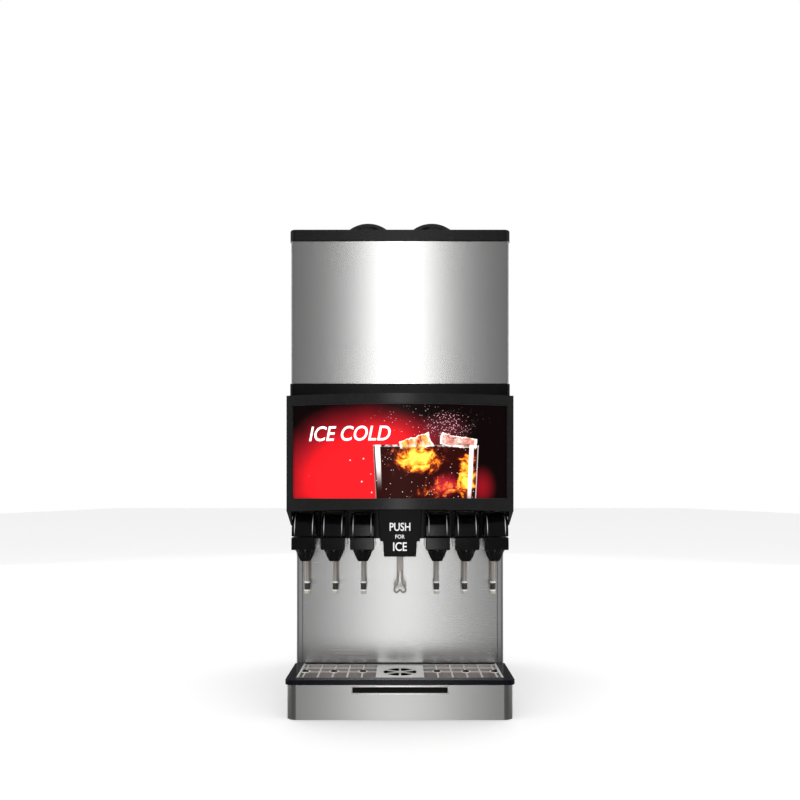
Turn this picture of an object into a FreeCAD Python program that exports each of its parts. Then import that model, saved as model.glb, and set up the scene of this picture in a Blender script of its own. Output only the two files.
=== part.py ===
"""Countertop fountain soda and ice dispenser: six drink valves, an ice chute and an ice bin on top.

Frame: +Z up, -Y is the front that the user faces, +X is to the user's right. The origin is at the
middle of the overall box on the counter. Millimetres throughout.
"""
import os
import re

import FreeCAD, Part
import Sketcher
from FreeCAD import Placement, Rotation, Vector

VALVES = 6
LINES = 8

# The driving dimensions, each written once: name, value, what it is.
SIZES = [
    ("body_width", 560, "cabinet, hopper and base width"),
    ("overall_depth", 700, "tray front to the ends of the rear stubs"),
    ("rear_stub", 22, "how far the pipe stubs stand out of the back"),
    ("tray_overhang", 10, "tray lip in front of the base"),
    ("splash_setback", 185, "base front to splash panel"),
    ("hopper_overhang", 102, "hopper front ahead of the splash panel"),
    ("base_height", 88, "counter to base deck"),
    ("base_corner", 24, "radius of the base's front corners"),
    ("hopper_bottom", 839, "counter to hopper skin"),
    ("hopper_height", 366, "hopper skin"),
    ("hopper_corner", 5, "radius of the hopper's upright corners"),
    ("sheet", 1.5, "stainless sheet"),
    ("wall", 3, "moulded plastic wall"),
    ("fit_gap", 0.5, "gap between a piece and the opening it drops into"),
    ("pin_radius", 2.5, "every pivot pin"),
    ("pin_play", 0.07, "running clearance round a pivot pin"),
    # base, tray and drain
    ("pan_flange", 15, "upturned edge of the base pan"),
    ("leg_hole", 5, "radius of the holes for legs"),
    ("leg_pitch_x", 460, "leg holes, side to side"),
    ("leg_pitch_y", 560, "leg holes, front to back"),
    ("label_width", 235, "label slot in the base front"),
    ("label_low", 66, "label slot's lower edge"),
    ("label_high", 80.5, "label slot's upper edge"),
    ("tray_reach", 3, "tray's rim beyond the base"),
    ("tray_corner", 18, "radius of the tray's front corners"),
    ("tray_rim", 12, "rim height above the deck"),
    ("tray_side_rim", 24, "rim width at the sides"),
    ("tray_front_rim", 29, "rim width at the front"),
    ("tray_back_rim", 4, "rim width at the back"),
    ("tray_ledge", 6.5, "ledge that the cup rest lies on"),
    ("tray_ledge_depth", 5, "ledge below the rim's top"),
    ("tray_floor", 50, "underside of the tray's tub"),
    ("rest_sheet", 2, "cup rest sheet"),
    ("rest_border", 5, "cup rest border"),
    ("rest_bar", 4, "cup rest bars"),
    ("rest_row", 43, "from the bar under the nozzles to the bar behind it"),
    ("ring_radius", 10.5, "ring under each nozzle"),
    ("ring_hole", 7.5, "hole in each ring"),
    ("wheel_plate", 59, "half width of the plain plate under the ice chute"),
    ("wheel_radius", 43, "outside of the petal openings"),
    ("wheel_hub", 10, "inside of the petal openings"),
    ("drain_x", -200, "drain line, from the middle"),
    ("drain_z", 30, "drain line's height"),
    ("drain_radius", 11, "drain pipe"),
    ("drain_stub_radius", 12.5, "drain stub for the hose"),
    ("spigot_radius", 12, "tray spigot"),
    # column
    ("column_flange", 16, "side panel's return at the front"),
    ("head_flange", 24, "side panel's return beside the display"),
    ("column_corner", 6, "radius of the side panel's front bend"),
    ("splash_gap", 2, "groove between a side panel and the splash panel"),
    ("splash_top", 500, "splash panel's upper edge"),
    ("splash_hem", 12, "height of the thicker hem at the splash panel's foot"),
    ("post", 20, "chassis tube"),
    ("frame_top", 520, "top of the chassis"),
    # hopper and bin
    ("insulation", 28, "foam thickness"),
    ("liner_wall", 4, "bin liner"),
    ("bin_floor", 590, "underside of the liner"),
    ("shelf_drop", 35, "height of the sloping shelf over the front"),
    ("outlet_half", 30, "half width of the ice outlet"),
    ("outlet_low", 704, "lower edge of the ice outlet"),
    ("outlet_high", 776, "upper edge of the ice outlet"),
    ("shaft_y", 90, "agitator shaft, front to back"),
    ("shaft_radius", 10, "agitator shaft"),
    ("arm_reach", 185, "agitator arm"),
    ("plate_half", 248, "half width of the cold plate"),
    ("plate_depth", 320, "cold plate, front to back"),
    ("plate_height", 45, "cold plate thickness"),
    # lid
    ("lid_height", 29, "lid"),
    ("lid_lip", 3, "lid beyond the hopper skin"),
    ("lid_corner", 15, "radius of the lid's corners"),
    ("lid_edge", 4, "radius round the lid's top"),
    ("lid_plug", 13, "locating ring below the rim"),
    ("handle_x", 83, "lid handle, from the middle"),
    ("handle_back", 45, "lid handle behind the lid's front"),
    ("handle_half", 60, "half length of a handle"),
    ("handle_rise", 26, "height of a handle"),
    ("handle_depth", 24, "strap depth of a handle"),
    ("grip_half", 42, "half length of the finger gap"),
    ("grip_rise", 19, "height of the finger gap"),
    ("hinge_x", 180, "lid hinge, from the middle"),
    ("hinge_back", 10, "hinge axis behind the hopper"),
    ("hinge_rise", 7, "hinge axis above the hopper's rim"),
    ("hinge_half", 25, "half width of a hinge"),
    ("knuckle", 6, "hinge knuckle radius"),
    # trim band and merchandiser
    ("band_bottom", 795, "lower edge of the trim band"),
    ("band_screw_z", 821, "band screws"),
    ("band_screw_inset", 17, "band screws inside the cabinet's side"),
    ("screw_head", 5.4, "screw head radius"),
    ("screw_shank", 2, "screw shank radius"),
    ("bezel_reach", 7, "bezel beyond the cabinet's side"),
    ("bezel_bow", 50, "how far the bezel's middle stands ahead of its ends"),
    ("bezel_proud", 31, "bezel ends ahead of the hopper"),
    ("bezel_low", 511, "bezel's lower edge at its ends"),
    ("bezel_high", 804, "bezel's upper edge"),
    ("bezel_arch", 7, "rise of the lower edge at the middle"),
    ("bezel_front", 10, "bezel's front wall"),
    ("bezel_rim", 8, "bezel's top, bottom and side walls"),
    ("bezel_back", 26, "bezel's rim behind its ends"),
    ("window_border", 15, "bezel beside the display window"),
    ("window_low", 543, "display window's lower edge"),
    ("window_high", 780, "display window's upper edge"),
    ("display_sheet", 3, "display panel"),
    ("display_inset", 6, "display panel behind the bezel's face"),
    ("display_lap", 5, "display panel behind the bezel's edge"),
    ("housing_wall", 2.5, "light box wall"),
    # valves
    ("valve_inner", 96, "innermost valve, from the middle"),
    ("valve_pitch", 74, "valve to valve"),
    ("nozzle_setback", 11, "nozzle axis behind the hopper's front"),
    ("cover_half", 31, "half width of a valve cover"),
    ("body_play", 2.0, "valve body inside its cover, each side"),
    ("cover_top", 510.5, "valve cover's top"),
    ("cover_split", 447, "groove across the valve cover"),
    ("cover_bottom", 414, "valve cover's lower edge"),
    ("cover_proud", 33, "valve cover's front ahead of the hopper"),
    ("cover_round", 7, "radius down a cover's sides"),
    ("cover_bulge", 34, "radius over a cover's top"),
    ("nozzle_bottom", 383, "nozzle's lower edge"),
    ("nozzle_top_radius", 26, "nozzle's flange"),
    ("nozzle_tip_radius", 13.5, "nozzle's tip"),
    ("nozzle_bore", 9.5, "nozzle's outlet"),
    ("collar_radius", 20, "valve body's collar, inside the nozzle"),
    ("lever_setback", 37, "valve lever behind the nozzle axis"),
    ("lever_pivot_z", 428, "valve lever's pivot"),
    ("lever_tip", 294, "valve lever's lower end"),
    ("lever_radius", 6, "valve lever's stem"),
    ("hub_radius", 7, "lever hub"),
    ("panel_low", 436, "valve panel's lower edge"),
    # ice chute, shroud and lever
    ("shroud_proud", 47, "shroud's front ahead of the hopper"),
    ("shroud_top_half", 56, "shroud half width at its top"),
    ("shroud_step_half", 50, "shroud half width at its step"),
    ("shroud_low_half", 40.5, "shroud half width at its mouth"),
    ("shroud_step", 437, "shroud's step"),
    ("shroud_bottom", 398.5, "shroud's mouth"),
    ("chute_half", 34.5, "half width of the chute"),
    ("chute_mouth", 405, "chute's lower end"),
    ("ice_lever_setback", 32, "ice lever behind the nozzle axis"),
    ("ice_pivot_z", 440, "ice lever's pivot"),
    ("ice_plate_half", 8.25, "half width of the ice lever's plate"),
    ("ice_wire", 3.25, "ice lever's wire, radius"),
    ("gate_pivot_z", 778, "ice gate's pivot"),
    # lines
    ("tube_radius", 3.2, "drink line"),
    ("inlet_radius", 4.76, "inlet line"),
    ("inlet_stub_radius", 6.35, "inlet stub for the hose"),
    ("inlet_z", 130, "inlet stubs' height"),
    ("inlet_first_x", -210, "first inlet stub"),
    ("inlet_pitch", 56, "inlet stub to inlet stub"),
]

# Places and sizes that follow from the driving dimensions.
DERIVED = [
    ("half", "body_width / 2"),
    ("front_y", "-overall_depth / 2"),
    ("base_front", "front_y + tray_overhang"),
    ("rear_y", "overall_depth / 2 - rear_stub"),
    ("column_front", "base_front + splash_setback"),
    ("splash_face", "column_front - sheet"),
    ("hopper_front", "column_front - hopper_overhang"),
    ("hopper_top", "hopper_bottom + hopper_height"),
    ("cover_front", "hopper_front - cover_proud"),
    ("nozzle_y", "hopper_front + nozzle_setback"),
    ("lever_y", "nozzle_y + lever_setback"),
    ("shroud_front", "hopper_front - shroud_proud"),
    ("ice_lever_y", "nozzle_y + ice_lever_setback"),
    ("valve_half", "cover_half - wall - body_play"),
    ("bezel_half", "half + bezel_reach"),
    ("window_half", "bezel_half - window_border"),
    ("band_screw_x", "half - band_screw_inset"),
    ("lid_low", "hopper_top + 1"),
    ("lid_top", "lid_low + lid_height"),
    ("lid_front", "hopper_front - lid_lip"),
    ("lid_rear", "rear_y + lid_lip"),
    ("lid_half", "half + lid_lip"),
    ("tray_half", "half + tray_reach"),
    ("tray_rear", "splash_face - 1.5"),
    ("tray_top", "base_height + tray_rim"),
    ("ledge_z", "tray_top - tray_ledge_depth"),
    ("recess_half", "tray_half - tray_side_rim"),
    ("recess_front", "front_y + tray_front_rim"),
    ("recess_rear", "tray_rear - tray_back_rim"),
    ("tub_half", "recess_half - tray_ledge"),
    ("tub_front", "recess_front + tray_ledge"),
    ("tub_rear", "recess_rear - tray_ledge"),
    ("rest_half", "recess_half - fit_gap"),
    ("rest_front", "recess_front + fit_gap"),
    ("rest_rear", "recess_rear - fit_gap"),
    ("foam_half", "half - sheet - 1"),
    ("foam_front", "column_front + 5"),
    ("foam_rear", "rear_y - sheet - 4"),
    ("foam_top", "hopper_top - liner_wall"),
    ("foam_over_front", "hopper_front + sheet"),
    ("foam_over_rear", "rear_y - sheet"),
    ("foam_over_bottom", "hopper_bottom + sheet"),
    ("bin_half", "foam_half - insulation"),
    ("bin_front", "foam_front + insulation"),
    ("bin_over_front", "foam_over_front + insulation"),
    ("bin_rear", "foam_rear - insulation"),
    ("shelf_z", "foam_over_bottom + insulation"),
    ("plate_front", "shaft_y - 190"),
    ("plate_rear", "plate_front + plate_depth"),
    ("plate_low", "bin_floor - plate_height"),
    ("hinge_y", "rear_y + hinge_back"),
    ("hinge_z", "hopper_top + hinge_rise"),
    ("bezel_ends", "hopper_front - bezel_proud"),
    ("bezel_middle", "bezel_ends - bezel_bow"),
    ("bezel_radius", "(bezel_half ^ 2 + bezel_bow ^ 2) / (2 * bezel_bow)"),
    ("bezel_centre", "bezel_middle + bezel_radius"),
    ("bezel_rear", "bezel_ends + bezel_back"),
    ("arch_radius", "(bezel_half ^ 2 + bezel_arch ^ 2) / (2 * bezel_arch)"),
    ("housing_half", "half - head_flange - 2"),
    ("housing_low", "bezel_low + bezel_rim + 2"),
    ("housing_high", "bezel_high - bezel_rim - 2"),
    ("housing_rear", "column_front - 2"),
    ("panel_front", "column_front - 7"),
    ("pin_hole", "pin_radius + pin_play"),
    ("cover_reach", "valve_inner + valve_pitch * 2 + cover_half + 1"),
    ("chute_wall", "housing_wall"),
] + [
    (f"valve_x_{n}", f"-(valve_inner + valve_pitch * {3 - n})" if n <= 3 else
     f"valve_inner + valve_pitch * {n - 4}")
    for n in range(1, VALVES + 1)
]

doc = FreeCAD.newDocument("soda_dispenser")
sheet = doc.addObject("Spreadsheet::Sheet", "sizes")
for row, (alias, amount, note) in enumerate(SIZES, start=1):
    sheet.set(f"A{row}", alias)
    sheet.set(f"B{row}", str(amount))
    sheet.set(f"C{row}", note)
    sheet.setAlias(f"B{row}", alias)
for row, (alias, formula) in enumerate(DERIVED, start=len(SIZES) + 1):
    sheet.set(f"A{row}", alias)
    sheet.setAlias(f"B{row}", alias)
for row, (alias, formula) in enumerate(DERIVED, start=len(SIZES) + 1):
    sheet.set(f"B{row}", f"={formula}")
doc.recompute()

ALIASES = {entry[0] for entry in SIZES} | {entry[0] for entry in DERIVED}
PARTS = []


# ---------------------------------------------------------------- helpers

def bound(text):
    """The expression text with every size name pointing at its cell in the sheet."""
    return re.sub(r"[A-Za-z_]\w*", lambda m: f"sizes.{m[0]}" if m[0] in ALIASES else m[0], str(text))


def value(text):
    """The number that an expression on the sheet's sizes gives now."""
    return float(sheet.evalExpression(bound(text)))


def bind(item, **expressions):
    """Ties properties to the sheet: Length="sheet * 2", or x=, y=, z= for the item's place."""
    for name, text in expressions.items():
        path = f"Placement.Base.{name}" if name in ("x", "y", "z") else name
        item.setExpression(path, bound(text))
    return item


def part(item, label):
    """Marks an object as a sub-part that is written out under its label."""
    item.Label = label
    PARTS.append(item)
    return item


def box(name, x, y, z):
    """A box between two places along each axis."""
    item = doc.addObject("Part::Box", name)
    return bind(item, Length=f"({x[1]}) - ({x[0]})", Width=f"({y[1]}) - ({y[0]})",
                Height=f"({z[1]}) - ({z[0]})", x=x[0], y=y[0], z=z[0])


TURNS = {"x": Rotation(Vector(0, 1, 0), 90), "y": Rotation(Vector(1, 0, 0), -90), "z": Rotation()}


def cylinder(name, axis, centre, radius, span):
    """A cylinder along an axis: centre is its two other coordinates in X, Y, Z order."""
    item = doc.addObject("Part::Cylinder", name)
    item.Placement = Placement(Vector(), TURNS[axis])
    places = dict(zip([a for a in "xyz" if a != axis], centre))
    places[axis] = span[0]
    return bind(item, Radius=radius, Height=f"({span[1]}) - ({span[0]})", **places)


def fuse(name, *items):
    item = doc.addObject("Part::MultiFuse", name)
    item.Shapes = list(items)
    return item


def cut(name, base, *tools):
    item = doc.addObject("Part::Cut", name)
    item.Base = base
    item.Tool = tools[0] if len(tools) == 1 else fuse(name + "_tools", *tools)
    return item


def group(name, items):
    """Separate solids that share one node."""
    item = doc.addObject("Part::Compound", name)
    item.Links = list(items)
    return item


def ring(name, axis, centre, radii, span):
    """A tube: the outer radius, then the bore."""
    outer = cylinder(name + "_outside", axis, centre, radii[0], span)
    bore = cylinder(name + "_bore", axis, centre, radii[1], span)
    return cut(name, outer, bore)


def new_body(name):
    return doc.addObject("PartDesign::Body", name)


# How far along its own normal each origin plane points, and which way is up in it.
PLANES = {"XY": ("XY_Plane", 1), "XZ": ("XZ_Plane", -1), "YZ": ("YZ_Plane", 1)}


class Outline:
    """A closed outline: corners as pairs of expressions, with some sides bent to a radius.

    arcs maps a side's number to (radius, turn): turn is 1 where the side bulges out of an outline
    whose corners run anticlockwise, and -1 where it dips in.
    """

    def __init__(self, corners, arcs=None, closed=True):
        self.corners = corners
        self.arcs = arcs or {}
        self.closed = closed

    def draw(self, sketch):
        at = [Vector(value(u), value(v), 0) for u, v in self.corners]
        first = sketch.GeometryCount
        sides = len(at) if self.closed else len(at) - 1
        ends = []
        for n, start in enumerate(at[:sides]):
            stop = at[(n + 1) % len(at)]
            if n in self.arcs:
                radius, turn = value(self.arcs[n][0]), self.arcs[n][1]
                middle, along = (start + stop) / 2, (stop - start).normalize()
                out = Vector(along.y, -along.x, 0) * turn
                reach = max(0, radius ** 2 - ((stop - start).Length / 2) ** 2) ** 0.5
                crown = middle - out * reach + out * radius
                sketch.addGeometry(Part.Arc(start, crown, stop), False)
                ends.append((1, 2) if turn > 0 else (2, 1))
            else:
                sketch.addGeometry(Part.LineSegment(start, stop), False)
                ends.append((1, 2))
        for n, (u, v) in enumerate(self.corners):
            if self.closed or 0 < n < sides:
                before = (n - 1) % len(at)
                sketch.addConstraint(Sketcher.Constraint(
                    "Coincident", first + before, ends[before][1], first + n, ends[n][0]))
            side, end = (n, ends[n][0]) if n < sides else (n - 1, ends[n - 1][1])
            for kind, text, number in (("DistanceX", u, at[n].x), ("DistanceY", v, at[n].y)):
                row = sketch.addConstraint(Sketcher.Constraint(
                    kind, -1, 1, first + side, end, number))
                sketch.setExpression(f"Constraints[{row}]", bound(text))
            if n in self.arcs:
                row = sketch.addConstraint(Sketcher.Constraint(
                    "Radius", first + n, value(self.arcs[n][0])))
                sketch.setExpression(f"Constraints[{row}]", bound(self.arcs[n][0]))


class Disc:
    """A circle in a sketch."""

    def __init__(self, u, v, radius):
        self.u, self.v, self.radius = u, v, radius

    def draw(self, sketch):
        centre = Vector(value(self.u), value(self.v), 0)
        n = sketch.addGeometry(Part.Circle(centre, Vector(0, 0, 1), value(self.radius)), False)
        for kind, text, number in (("DistanceX", self.u, centre.x), ("DistanceY", self.v, centre.y)):
            row = sketch.addConstraint(Sketcher.Constraint(kind, -1, 1, n, 3, number))
            sketch.setExpression(f"Constraints[{row}]", bound(text))
        row = sketch.addConstraint(Sketcher.Constraint("Radius", n, value(self.radius)))
        sketch.setExpression(f"Constraints[{row}]", bound(self.radius))


def rectangle(u, v):
    return Outline([(u[0], v[0]), (u[1], v[0]), (u[1], v[1]), (u[0], v[1])])


def rounded(u, v, low_radius, high_radius):
    """A rectangle with one radius at its low-v corners and one at its high-v corners."""
    a, b = low_radius, high_radius
    corners = [(f"({u[0]}) + ({a})", v[0]), (f"({u[1]}) - ({a})", v[0]),
               (u[1], f"({v[0]}) + ({a})"), (u[1], f"({v[1]}) - ({b})"),
               (f"({u[1]}) - ({b})", v[1]), (f"({u[0]}) + ({b})", v[1]),
               (u[0], f"({v[1]}) - ({b})"), (u[0], f"({v[0]}) + ({a})")]
    return Outline(corners, {1: (a, 1), 3: (b, 1), 5: (b, 1), 7: (a, 1)})


def sketch_on(body, name, plane, place, outlines):
    """A sketch on one of the body's origin planes, moved along that axis to a place."""
    role, along = PLANES[plane]
    sketch = body.newObject("Sketcher::SketchObject", name)
    origin = next(f for f in body.Origin.OriginFeatures if f.Role == role)
    sketch.AttachmentSupport = [(origin, "")]
    sketch.MapMode = "FlatFace"
    sketch.setExpression("AttachmentOffset.Base.z", bound(f"{along} * ({place})"))
    for outline in outlines:
        outline.draw(sketch)
    return sketch


def pad(body, name, plane, span, *outlines):
    """Adds the outlines, stretched between two places along the plane's axis."""
    place = span[0] if PLANES[plane][1] > 0 else span[1]
    feature = body.newObject("PartDesign::Pad", name)
    feature.Profile = sketch_on(body, name + "_sketch", plane, place, outlines)
    feature.setExpression("Length", bound(f"({span[1]}) - ({span[0]})"))
    body.Tip = feature
    return feature


def pocket(body, name, plane, span, *outlines):
    """Takes the outlines away between two places along the plane's axis."""
    place = span[1] if PLANES[plane][1] > 0 else span[0]
    feature = body.newObject("PartDesign::Pocket", name)
    feature.Profile = sketch_on(body, name + "_sketch", plane, place, outlines)
    feature.setExpression("Length", bound(f"({span[1]}) - ({span[0]})"))
    body.Tip = feature
    return feature


def round_edges(body, name, radius, wanted):
    """Rounds the edges of the body's tip for which wanted(edge) is true."""
    doc.recompute()
    base = body.Tip
    names = [f"Edge{n}" for n, edge in enumerate(base.Shape.Edges, start=1) if wanted(edge)]
    feature = body.newObject("PartDesign::Fillet", name)
    feature.Base = (base, names)
    feature.setExpression("Radius", bound(radius))
    body.Tip = feature
    return feature


def near(a, b, within=0.01):
    return abs(a - b) < within


def pipe(name, radius, plane, place, path, start_plane, start):
    """A rod along a path drawn on one plane: start is the circle's (u, v) and its plane's place."""
    body = new_body(name)
    line = sketch_on(body, name + "_path", plane, place, [path])
    ring_sketch = sketch_on(body, name + "_section", start_plane, start[2],
                            [Disc(start[0], start[1], radius)])
    feature = body.newObject("PartDesign::AdditivePipe", name + "_pipe")
    feature.Profile = ring_sketch
    feature.Spine = (line, [])
    feature.Transition = 2
    body.Tip = feature
    return body


def valve_x(n):
    return f"valve_x_{n}"


# ---------------------------------------------------------------- base, tray and drain

pan = part(new_body("base_pan"), "base_pan")
pan_x, pan_y = ("-half + 2", "half - 2"), ("base_front + 2", "rear_y - 2")
pad(pan, "pan_block", "XY", ("0", "pan_flange"), rounded(pan_x, pan_y, "base_corner - 2", "3"))
pocket(pan, "pan_inside", "XY", ("sheet", "pan_flange"),
       rounded(("-half + 3.5", "half - 3.5"), ("base_front + 3.5", "rear_y - 3.5"),
               "base_corner - 3.5", "1.5"))
leg_y = "(base_front + rear_y) / 2"
pocket(pan, "leg_holes", "XY", ("0", "sheet"),
       *[Disc(f"{side} * leg_pitch_x / 2", f"{leg_y} + {end} * leg_pitch_y / 2", "leg_hole")
         for side in (-1, 1) for end in (-1, 1)])

wrap = part(new_body("base_front_panel"), "base_front_panel")
wrap_back = "column_front - 0.5"
pad(wrap, "wrap_block", "XY", ("0", "base_height"),
    rounded(("-half", "half"), ("base_front", wrap_back), "base_corner", "0.1"))
pocket(wrap, "wrap_inside", "XY", ("0", "base_height - sheet"),
       rounded(("-half + sheet", "half - sheet"), ("base_front + sheet", "column_front + 5"),
               "base_corner - sheet", "0.1"))
pocket(wrap, "tub_opening", "XY", ("base_height - sheet", "base_height"),
       rectangle(("-tub_half - wall - fit_gap", "tub_half + wall + fit_gap"),
                 ("tub_front - wall - fit_gap", "tub_rear + wall + fit_gap")))
pocket(wrap, "label_opening", "XZ", ("base_front", "base_front + sheet"),
       rectangle(("-label_width / 2", "label_width / 2"), ("label_low", "label_high")))

label = part(new_body("label_plate"), "label_plate")
pad(label, "label_lens", "XZ", ("base_front - 0.4", "base_front + sheet + 0.2"),
    rectangle(("-label_width / 2 + 0.3", "label_width / 2 - 0.3"),
              ("label_low + 0.3", "label_high - 0.3")))
pad(label, "label_flange", "XZ", ("base_front + sheet + 0.1", "base_front + sheet + 2"),
    rectangle(("-label_width / 2 - 4", "label_width / 2 + 4"), ("label_low - 4", "label_high + 4")))

tray = part(new_body("drip_tray"), "drip_tray")
pad(tray, "rim", "XY", ("base_height", "tray_top"),
    rounded(("-tray_half", "tray_half"), ("front_y", "tray_rear"), "tray_corner", "3"))
pad(tray, "tub", "XY", ("tray_floor", "base_height + 1"),
    rounded(("-tub_half - wall", "tub_half + wall"), ("tub_front - wall", "tub_rear + wall"),
            "wall * 2", "wall * 2"))
spigot_at = ("drain_x", "(tub_front + tub_rear) / 2")
pad(tray, "spigot", "XY", ("tray_floor - 10", "tray_floor + 1"), Disc(*spigot_at, "spigot_radius"))
pocket(tray, "rest_recess", "XY", ("ledge_z", "tray_top"),
       rectangle(("-recess_half", "recess_half"), ("recess_front", "recess_rear")))
pocket(tray, "basin", "XY", ("tray_floor + wall", "ledge_z"),
       rounded(("-tub_half", "tub_half"), ("tub_front", "tub_rear"), "wall", "wall"))
pocket(tray, "outlet", "XY", ("tray_floor - 10", "tray_floor + wall"),
       Disc(*spigot_at, "spigot_radius - wall"))
round_edges(tray, "rim_round", "2.5", lambda e: near(e.BoundBox.ZMin, value("tray_top")) and near(
    e.BoundBox.ZMax, value("tray_top")) and (
        e.BoundBox.YMax < value("recess_front") - 1 or e.BoundBox.XMin > value("recess_half") + 1
        or e.BoundBox.XMax < -value("recess_half") - 1))

rest = part(new_body("cup_rest"), "cup_rest")
rest_z = ("ledge_z", "ledge_z + rest_sheet")
pad(rest, "rest_plate", "XY", rest_z,
    rectangle(("-rest_half", "rest_half"), ("rest_front", "rest_rear")))
bar = "rest_bar / 2"
column_edges = ["wheel_plate", "valve_inner", "valve_inner + valve_pitch / 2",
                "valve_inner + valve_pitch", "valve_inner + valve_pitch * 1.5",
                "valve_inner + valve_pitch * 2", "rest_half - rest_border + rest_bar / 2"]
row_edges = [("rest_front + rest_border", f"nozzle_y - {bar}"),
             (f"nozzle_y + {bar}", f"nozzle_y + rest_row - {bar}"),
             (f"nozzle_y + rest_row + {bar}", "rest_rear - rest_border")]
openings = []
for left, right in zip(column_edges, column_edges[1:]):
    for low, high in row_edges:
        openings.append(rectangle((f"{left} + {bar}", f"{right} - {bar}"), (low, high)))
        openings.append(rectangle((f"-({right}) + {bar}", f"-({left}) - {bar}"), (low, high)))
pocket(rest, "rest_openings", "XY", rest_z, *openings)
pad(rest, "rings", "XY", rest_z,
    *[Disc(valve_x(n), "nozzle_y", "ring_radius") for n in range(1, VALVES + 1)])
pocket(rest, "ring_holes", "XY", rest_z,
       *[Disc(valve_x(n), "nozzle_y", "ring_hole") for n in range(1, VALVES + 1)])
petals = []
for n in range(6):
    near_edge = [(f"wheel_hub * cos({60 * n + a})", f"nozzle_y + wheel_hub * sin({60 * n + a})")
                 for a in (22, -22)]
    far_edge = [(f"wheel_radius * cos({60 * n + a})", f"nozzle_y + wheel_radius * sin({60 * n + a})")
                for a in (-26, 26)]
    petals.append(Outline(near_edge + far_edge, {0: ("wheel_hub", -1), 2: ("wheel_radius", 1)}))
pocket(rest, "wheel", "XY", rest_z, Disc("0", "nozzle_y", "wheel_hub / 3"), *petals)

drain_y = spigot_at[1]
drain = fuse("drain_solid",
             cylinder("drain_cup", "z", ("drain_x", drain_y), "spigot_radius + 7", ("18", "48")),
             cylinder("drain_pipe", "y", ("drain_x", "drain_z"), "drain_radius",
                      (drain_y, "rear_y + 2")),
             cylinder("drain_stub", "y", ("drain_x", "drain_z"), "drain_stub_radius",
                      ("rear_y + 0.5", "rear_y + rear_stub")))
part(cut("drain_cut", drain,
         cylinder("drain_cup_inside", "z", ("drain_x", drain_y), "spigot_radius + 5", ("20", "49")),
         cylinder("drain_pipe_inside", "y", ("drain_x", "drain_z"), "drain_radius - 2",
                  (drain_y, "rear_y + rear_stub + 1"))), "drain_line")

# ---------------------------------------------------------------- chassis and outer panels

post_x = ("half - 24.5", "half - 4.5")
post_front, post_rear = ("column_front + 3", "column_front + 3 + post"), ("rear_y - 24", "rear_y - 4")
posts = []
for side in (-1, 1):
    across = post_x if side > 0 else (f"-({post_x[1]})", f"-({post_x[0]})")
    tag = "right" if side > 0 else "left"
    posts.append(box(f"{tag}_front_post", across, post_front, ("sheet", "frame_top")))
    posts.append(box(f"{tag}_rear_post", across, post_rear, ("sheet", "frame_top")))
    posts.append(box(f"{tag}_rail", across, (post_front[0], post_rear[1]),
                     ("frame_top - post", "frame_top")))
rail_x = (f"-({post_x[1]})", post_x[1])
posts.append(box("front_rail", rail_x, post_front, ("frame_top - post", "frame_top")))
posts.append(box("rear_rail", rail_x, post_rear, ("frame_top - post", "frame_top")))
for tag, place in (("motor_front_rail", "shaft_y - 60"), ("motor_rear_rail", "shaft_y + 40")):
    posts.append(box(tag, rail_x, (place, f"{place} + post"), ("frame_top - post", "frame_top")))
part(fuse("chassis_solid", *posts), "chassis")

for side, tag in ((1, "right"), (-1, "left")):
    panel = part(new_body(f"{tag}_side_panel"), f"{tag}_side_panel")
    flat = ("half - sheet", "half") if side > 0 else ("-half", "-half + sheet")
    bend = "column_corner"
    corners = [("column_front", "0"), ("rear_y", "0"), ("rear_y", "hopper_bottom - 0.5"),
               (f"hopper_front + {bend}", "hopper_bottom - 0.5"),
               (f"hopper_front + {bend}", "cover_top + 3"), ("hopper_front", "cover_top + 3"),
               ("hopper_front", "bezel_low - 8"), (f"column_front + {bend}", "bezel_low - 43"),
               (f"column_front + {bend}", "base_height + 0.5"), ("column_front", "base_height + 0.5")]
    pad(panel, f"{tag}_flat", "YZ", flat, Outline(corners))

    def bent(face, flange):
        out = [("half", f"{face} + {bend}"), (f"half - {flange}", face),
               (f"half - {flange}", f"{face} + sheet"), (f"half - {bend}", f"{face} + sheet"),
               ("half - sheet", f"{face} + {bend}")]
        out.insert(1, (f"half - {bend}", face))
        if side > 0:
            return Outline([(u, v) for u, v in out], {0: (bend, -1), 4: (f"{bend} - sheet", 1)})
        return Outline([(f"-({u})", v) for u, v in out], {0: (bend, 1), 4: (f"{bend} - sheet", -1)})

    pad(panel, f"{tag}_column_return", "XY", ("base_height + 0.5", "bezel_low - 43"),
        bent("column_front", "column_flange"))
    pad(panel, f"{tag}_head_return", "XY", ("cover_top + 3", "hopper_bottom - 0.5"),
        bent("hopper_front", "head_flange"))
    pocket(panel, f"{tag}_screw_hole", "XZ", ("hopper_front", "hopper_front + sheet"),
           Disc(f"{side} * band_screw_x", "band_screw_z", "screw_shank + 0.3"))

rear = part(new_body("rear_panel"), "rear_panel")
rear_y_span = ("rear_y - sheet", "rear_y")
pad(rear, "rear_sheet", "XZ", rear_y_span, rectangle(("-half + 2", "half - 2"),
                                                    ("sheet", "hopper_bottom - 0.5")))
pocket(rear, "rear_holes", "XZ", rear_y_span, Disc("drain_x", "drain_z", "drain_stub_radius + 0.5"),
       rectangle(("200", "230"), ("200", "222")),
       *[Disc(f"inlet_first_x + inlet_pitch * {n}", "inlet_z", "inlet_stub_radius + 0.5")
         for n in range(LINES)])
pocket(rear, "louvres", "XZ", rear_y_span,
       *[rectangle(("-140", "60"), (f"300 + 22 * {n}", f"306 + 22 * {n}")) for n in range(7)])

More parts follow.
